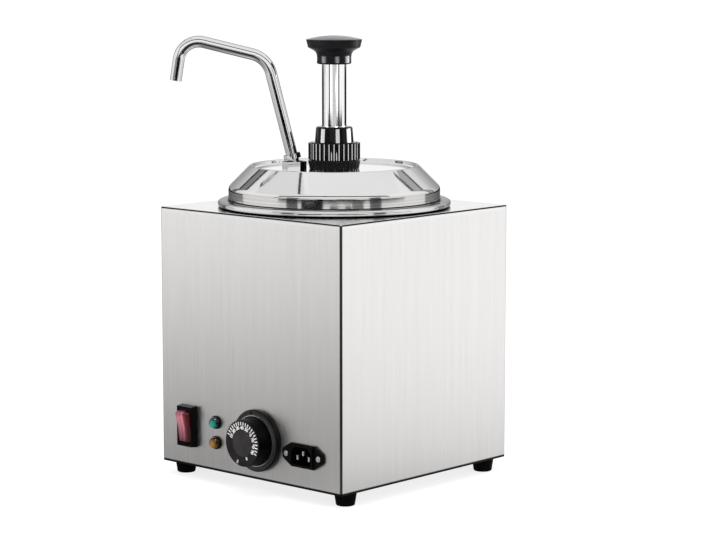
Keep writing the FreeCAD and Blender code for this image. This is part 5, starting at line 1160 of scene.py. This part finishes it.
for values in (
    ("top_light", VIEW - 20, 0.5, 2.6, (1.2, 1.2), 14.0),
    ("left_strip", VIEW - 58, 1.7, 0.75, (0.07, 1.3), 6.0),
    ("right_strip", VIEW + 62, 1.7, 0.75, (0.07, 1.3), 9.0),
    ("middle_strip", VIEW + 21, 2.3, 0.9, (0.06, 1.5), 8.0),
):
    soft_light(*values).visible_glossy = False


def shine_on(name, pieces):
    """Gathers the pieces that a small lamp is to shine on."""
    group = bpy.data.collections.new(name)
    for piece in pieces:
        group.objects.link(piece)
    return group


STRIP_DISTANCE = 1.4


def gloss_strip(name, start, end, low, high, level, group):
    """A bright standing strip between two angles from the camera's side and two heights."""
    wide = 2 * STRIP_DISTANCE * math.tan(math.radians(end - start) / 2)
    middle = (low + high) / 2
    strip = soft_light(
        name, VIEW + (start + end) / 2, STRIP_DISTANCE, middle, (wide, high - low),
        level * math.pi * wide * (high - low), target=Vector((0, 0, middle)),
    )
    strip.light_linking.receiver_collection = group


black_parts = shine_on("black_parts", (base, cap, knob))
gloss_strip("gloss_left", -88, -60, 0.1, 0.6, 52.0, black_parts)
gloss_strip("gloss_middle", 10, 33, 0.1, 0.6, 52.0, black_parts)
gloss_strip("gloss_right", 84, 120, 0.1, 0.6, 56.0, black_parts)
gloss_strip("gloss_ribs", -22, 30, 0.1, 0.3, 56.0, shine_on("ribs", (nut,)))
gloss_strip("rod_fill", -37, 37, 0.2, 0.34, 0.6, shine_on("rod", (rod,)))
sparkle = soft_light(
    "sparkle", VIEW, 0.54, 1.45, (0.25, 0.25), 9.0, target=Vector((-0.042, -0.12, 0.047))
)
sparkle.light_linking.receiver_collection = shine_on(
    "lenses", [NODE[name] for name in ("green_lens", "amber_lens", "switch_rocker")]
)

# Name, two angles from the camera's side, distance, two heights and tone.
SCREENS = (
    ("near_left", -51, -38, 1.95, 0.002, 1.0, 0.16),
    ("near_right", 38, 51, 1.95, 0.002, 1.0, 0.16),
    ("upper_left", -66, -26, 1.5, 0.37, 0.56, 0.3),
    ("edge_left", -172, -114, 1.9, 0.13, 0.3, 0.03),
    ("edge_right", 114, 172, 1.9, 0.13, 0.3, 0.03),
    ("low_left", -172, -114, 1.9, 0.002, 0.13, 0.35),
    ("low_right", 114, 172, 1.9, 0.002, 0.13, 0.35),
    ("outer_left", -170, -144, 1.9, 0.33, 1.6, 0.9),
    ("line_left", -143.4, -141.2, 1.88, 0.33, 1.8, 0.02),
    ("between_left", -141.5, -134.5, 1.9, 0.33, 1.9, 0.3),
    ("inner_line_left", -134.9, -132.7, 1.88, 0.33, 2.1, 0.04),
    ("outer_right", 145, 170, 1.9, 0.33, 1.6, 0.9),
    ("line_right", 134, 136.2, 1.88, 0.33, 1.9, 0.1),
    ("between_right", 126, 134.5, 1.9, 0.33, 2.1, 0.5),
    ("inner_line_right", 123.4, 126.4, 1.88, 0.33, 2.3, 0.12),
    ("cap_dark_left", -60, -27, 1.5, 0.155, 0.238, 0.0),
    ("spout_dark", -27, 9, 1.5, 0.155, 0.238, 0.0),
    ("bend_dark", 9, 33, 1.5, 0.155, 0.238, 0.0),
    ("cap_dark_right", 33, 80, 1.5, 0.155, 0.238, 0.0),
    ("skirt_dark_left", -4, 4.5, 1.5, 0.06, 0.128, 0.01),
    ("skirt_dark_right", 12, 18, 1.5, 0.06, 0.128, 0.01),
    ("skirt_grey_right", 19, 31, 1.5, 0.06, 0.15, 0.22),
    ("spout_low", -34, -11, 1.5, 0.0, 0.155, 0.02),
    ("spout_middle", -17, 12, 1.5, 0.238, 0.34, 0.0),
    ("spout_upper", 3, 25, 1.5, 0.3, 0.42, 0.0),
    ("bend_left", -27, -12, 1.5, 0.33, 0.43, 0.02),
    ("bend_right", 10, 22, 1.5, 0.237, 0.27, 0.02),
    ("spout_sky", -65, 65, 1.5, 1.55, 2.7, 0.04),
)
for values in SCREENS:
    screen(*values)
card("corner_dark", VIEW + 6, 1.3, 0.004, (0.85, 2.0), 0.03, level=True)
card("ceiling_left", VIEW - 75, 1.95, 2.35, (3.6, 2.4), 0.86, level=True)
card("ceiling_right", VIEW + 105, 0.55, 2.35, (3.6, 2.4), 0.95, level=True)
card("slash", VIEW - 88, 0.76, 2.1, (0.5, 0.055), 0.01, level=True)

bpy.context.scene.view_settings.view_transform = "Standard"
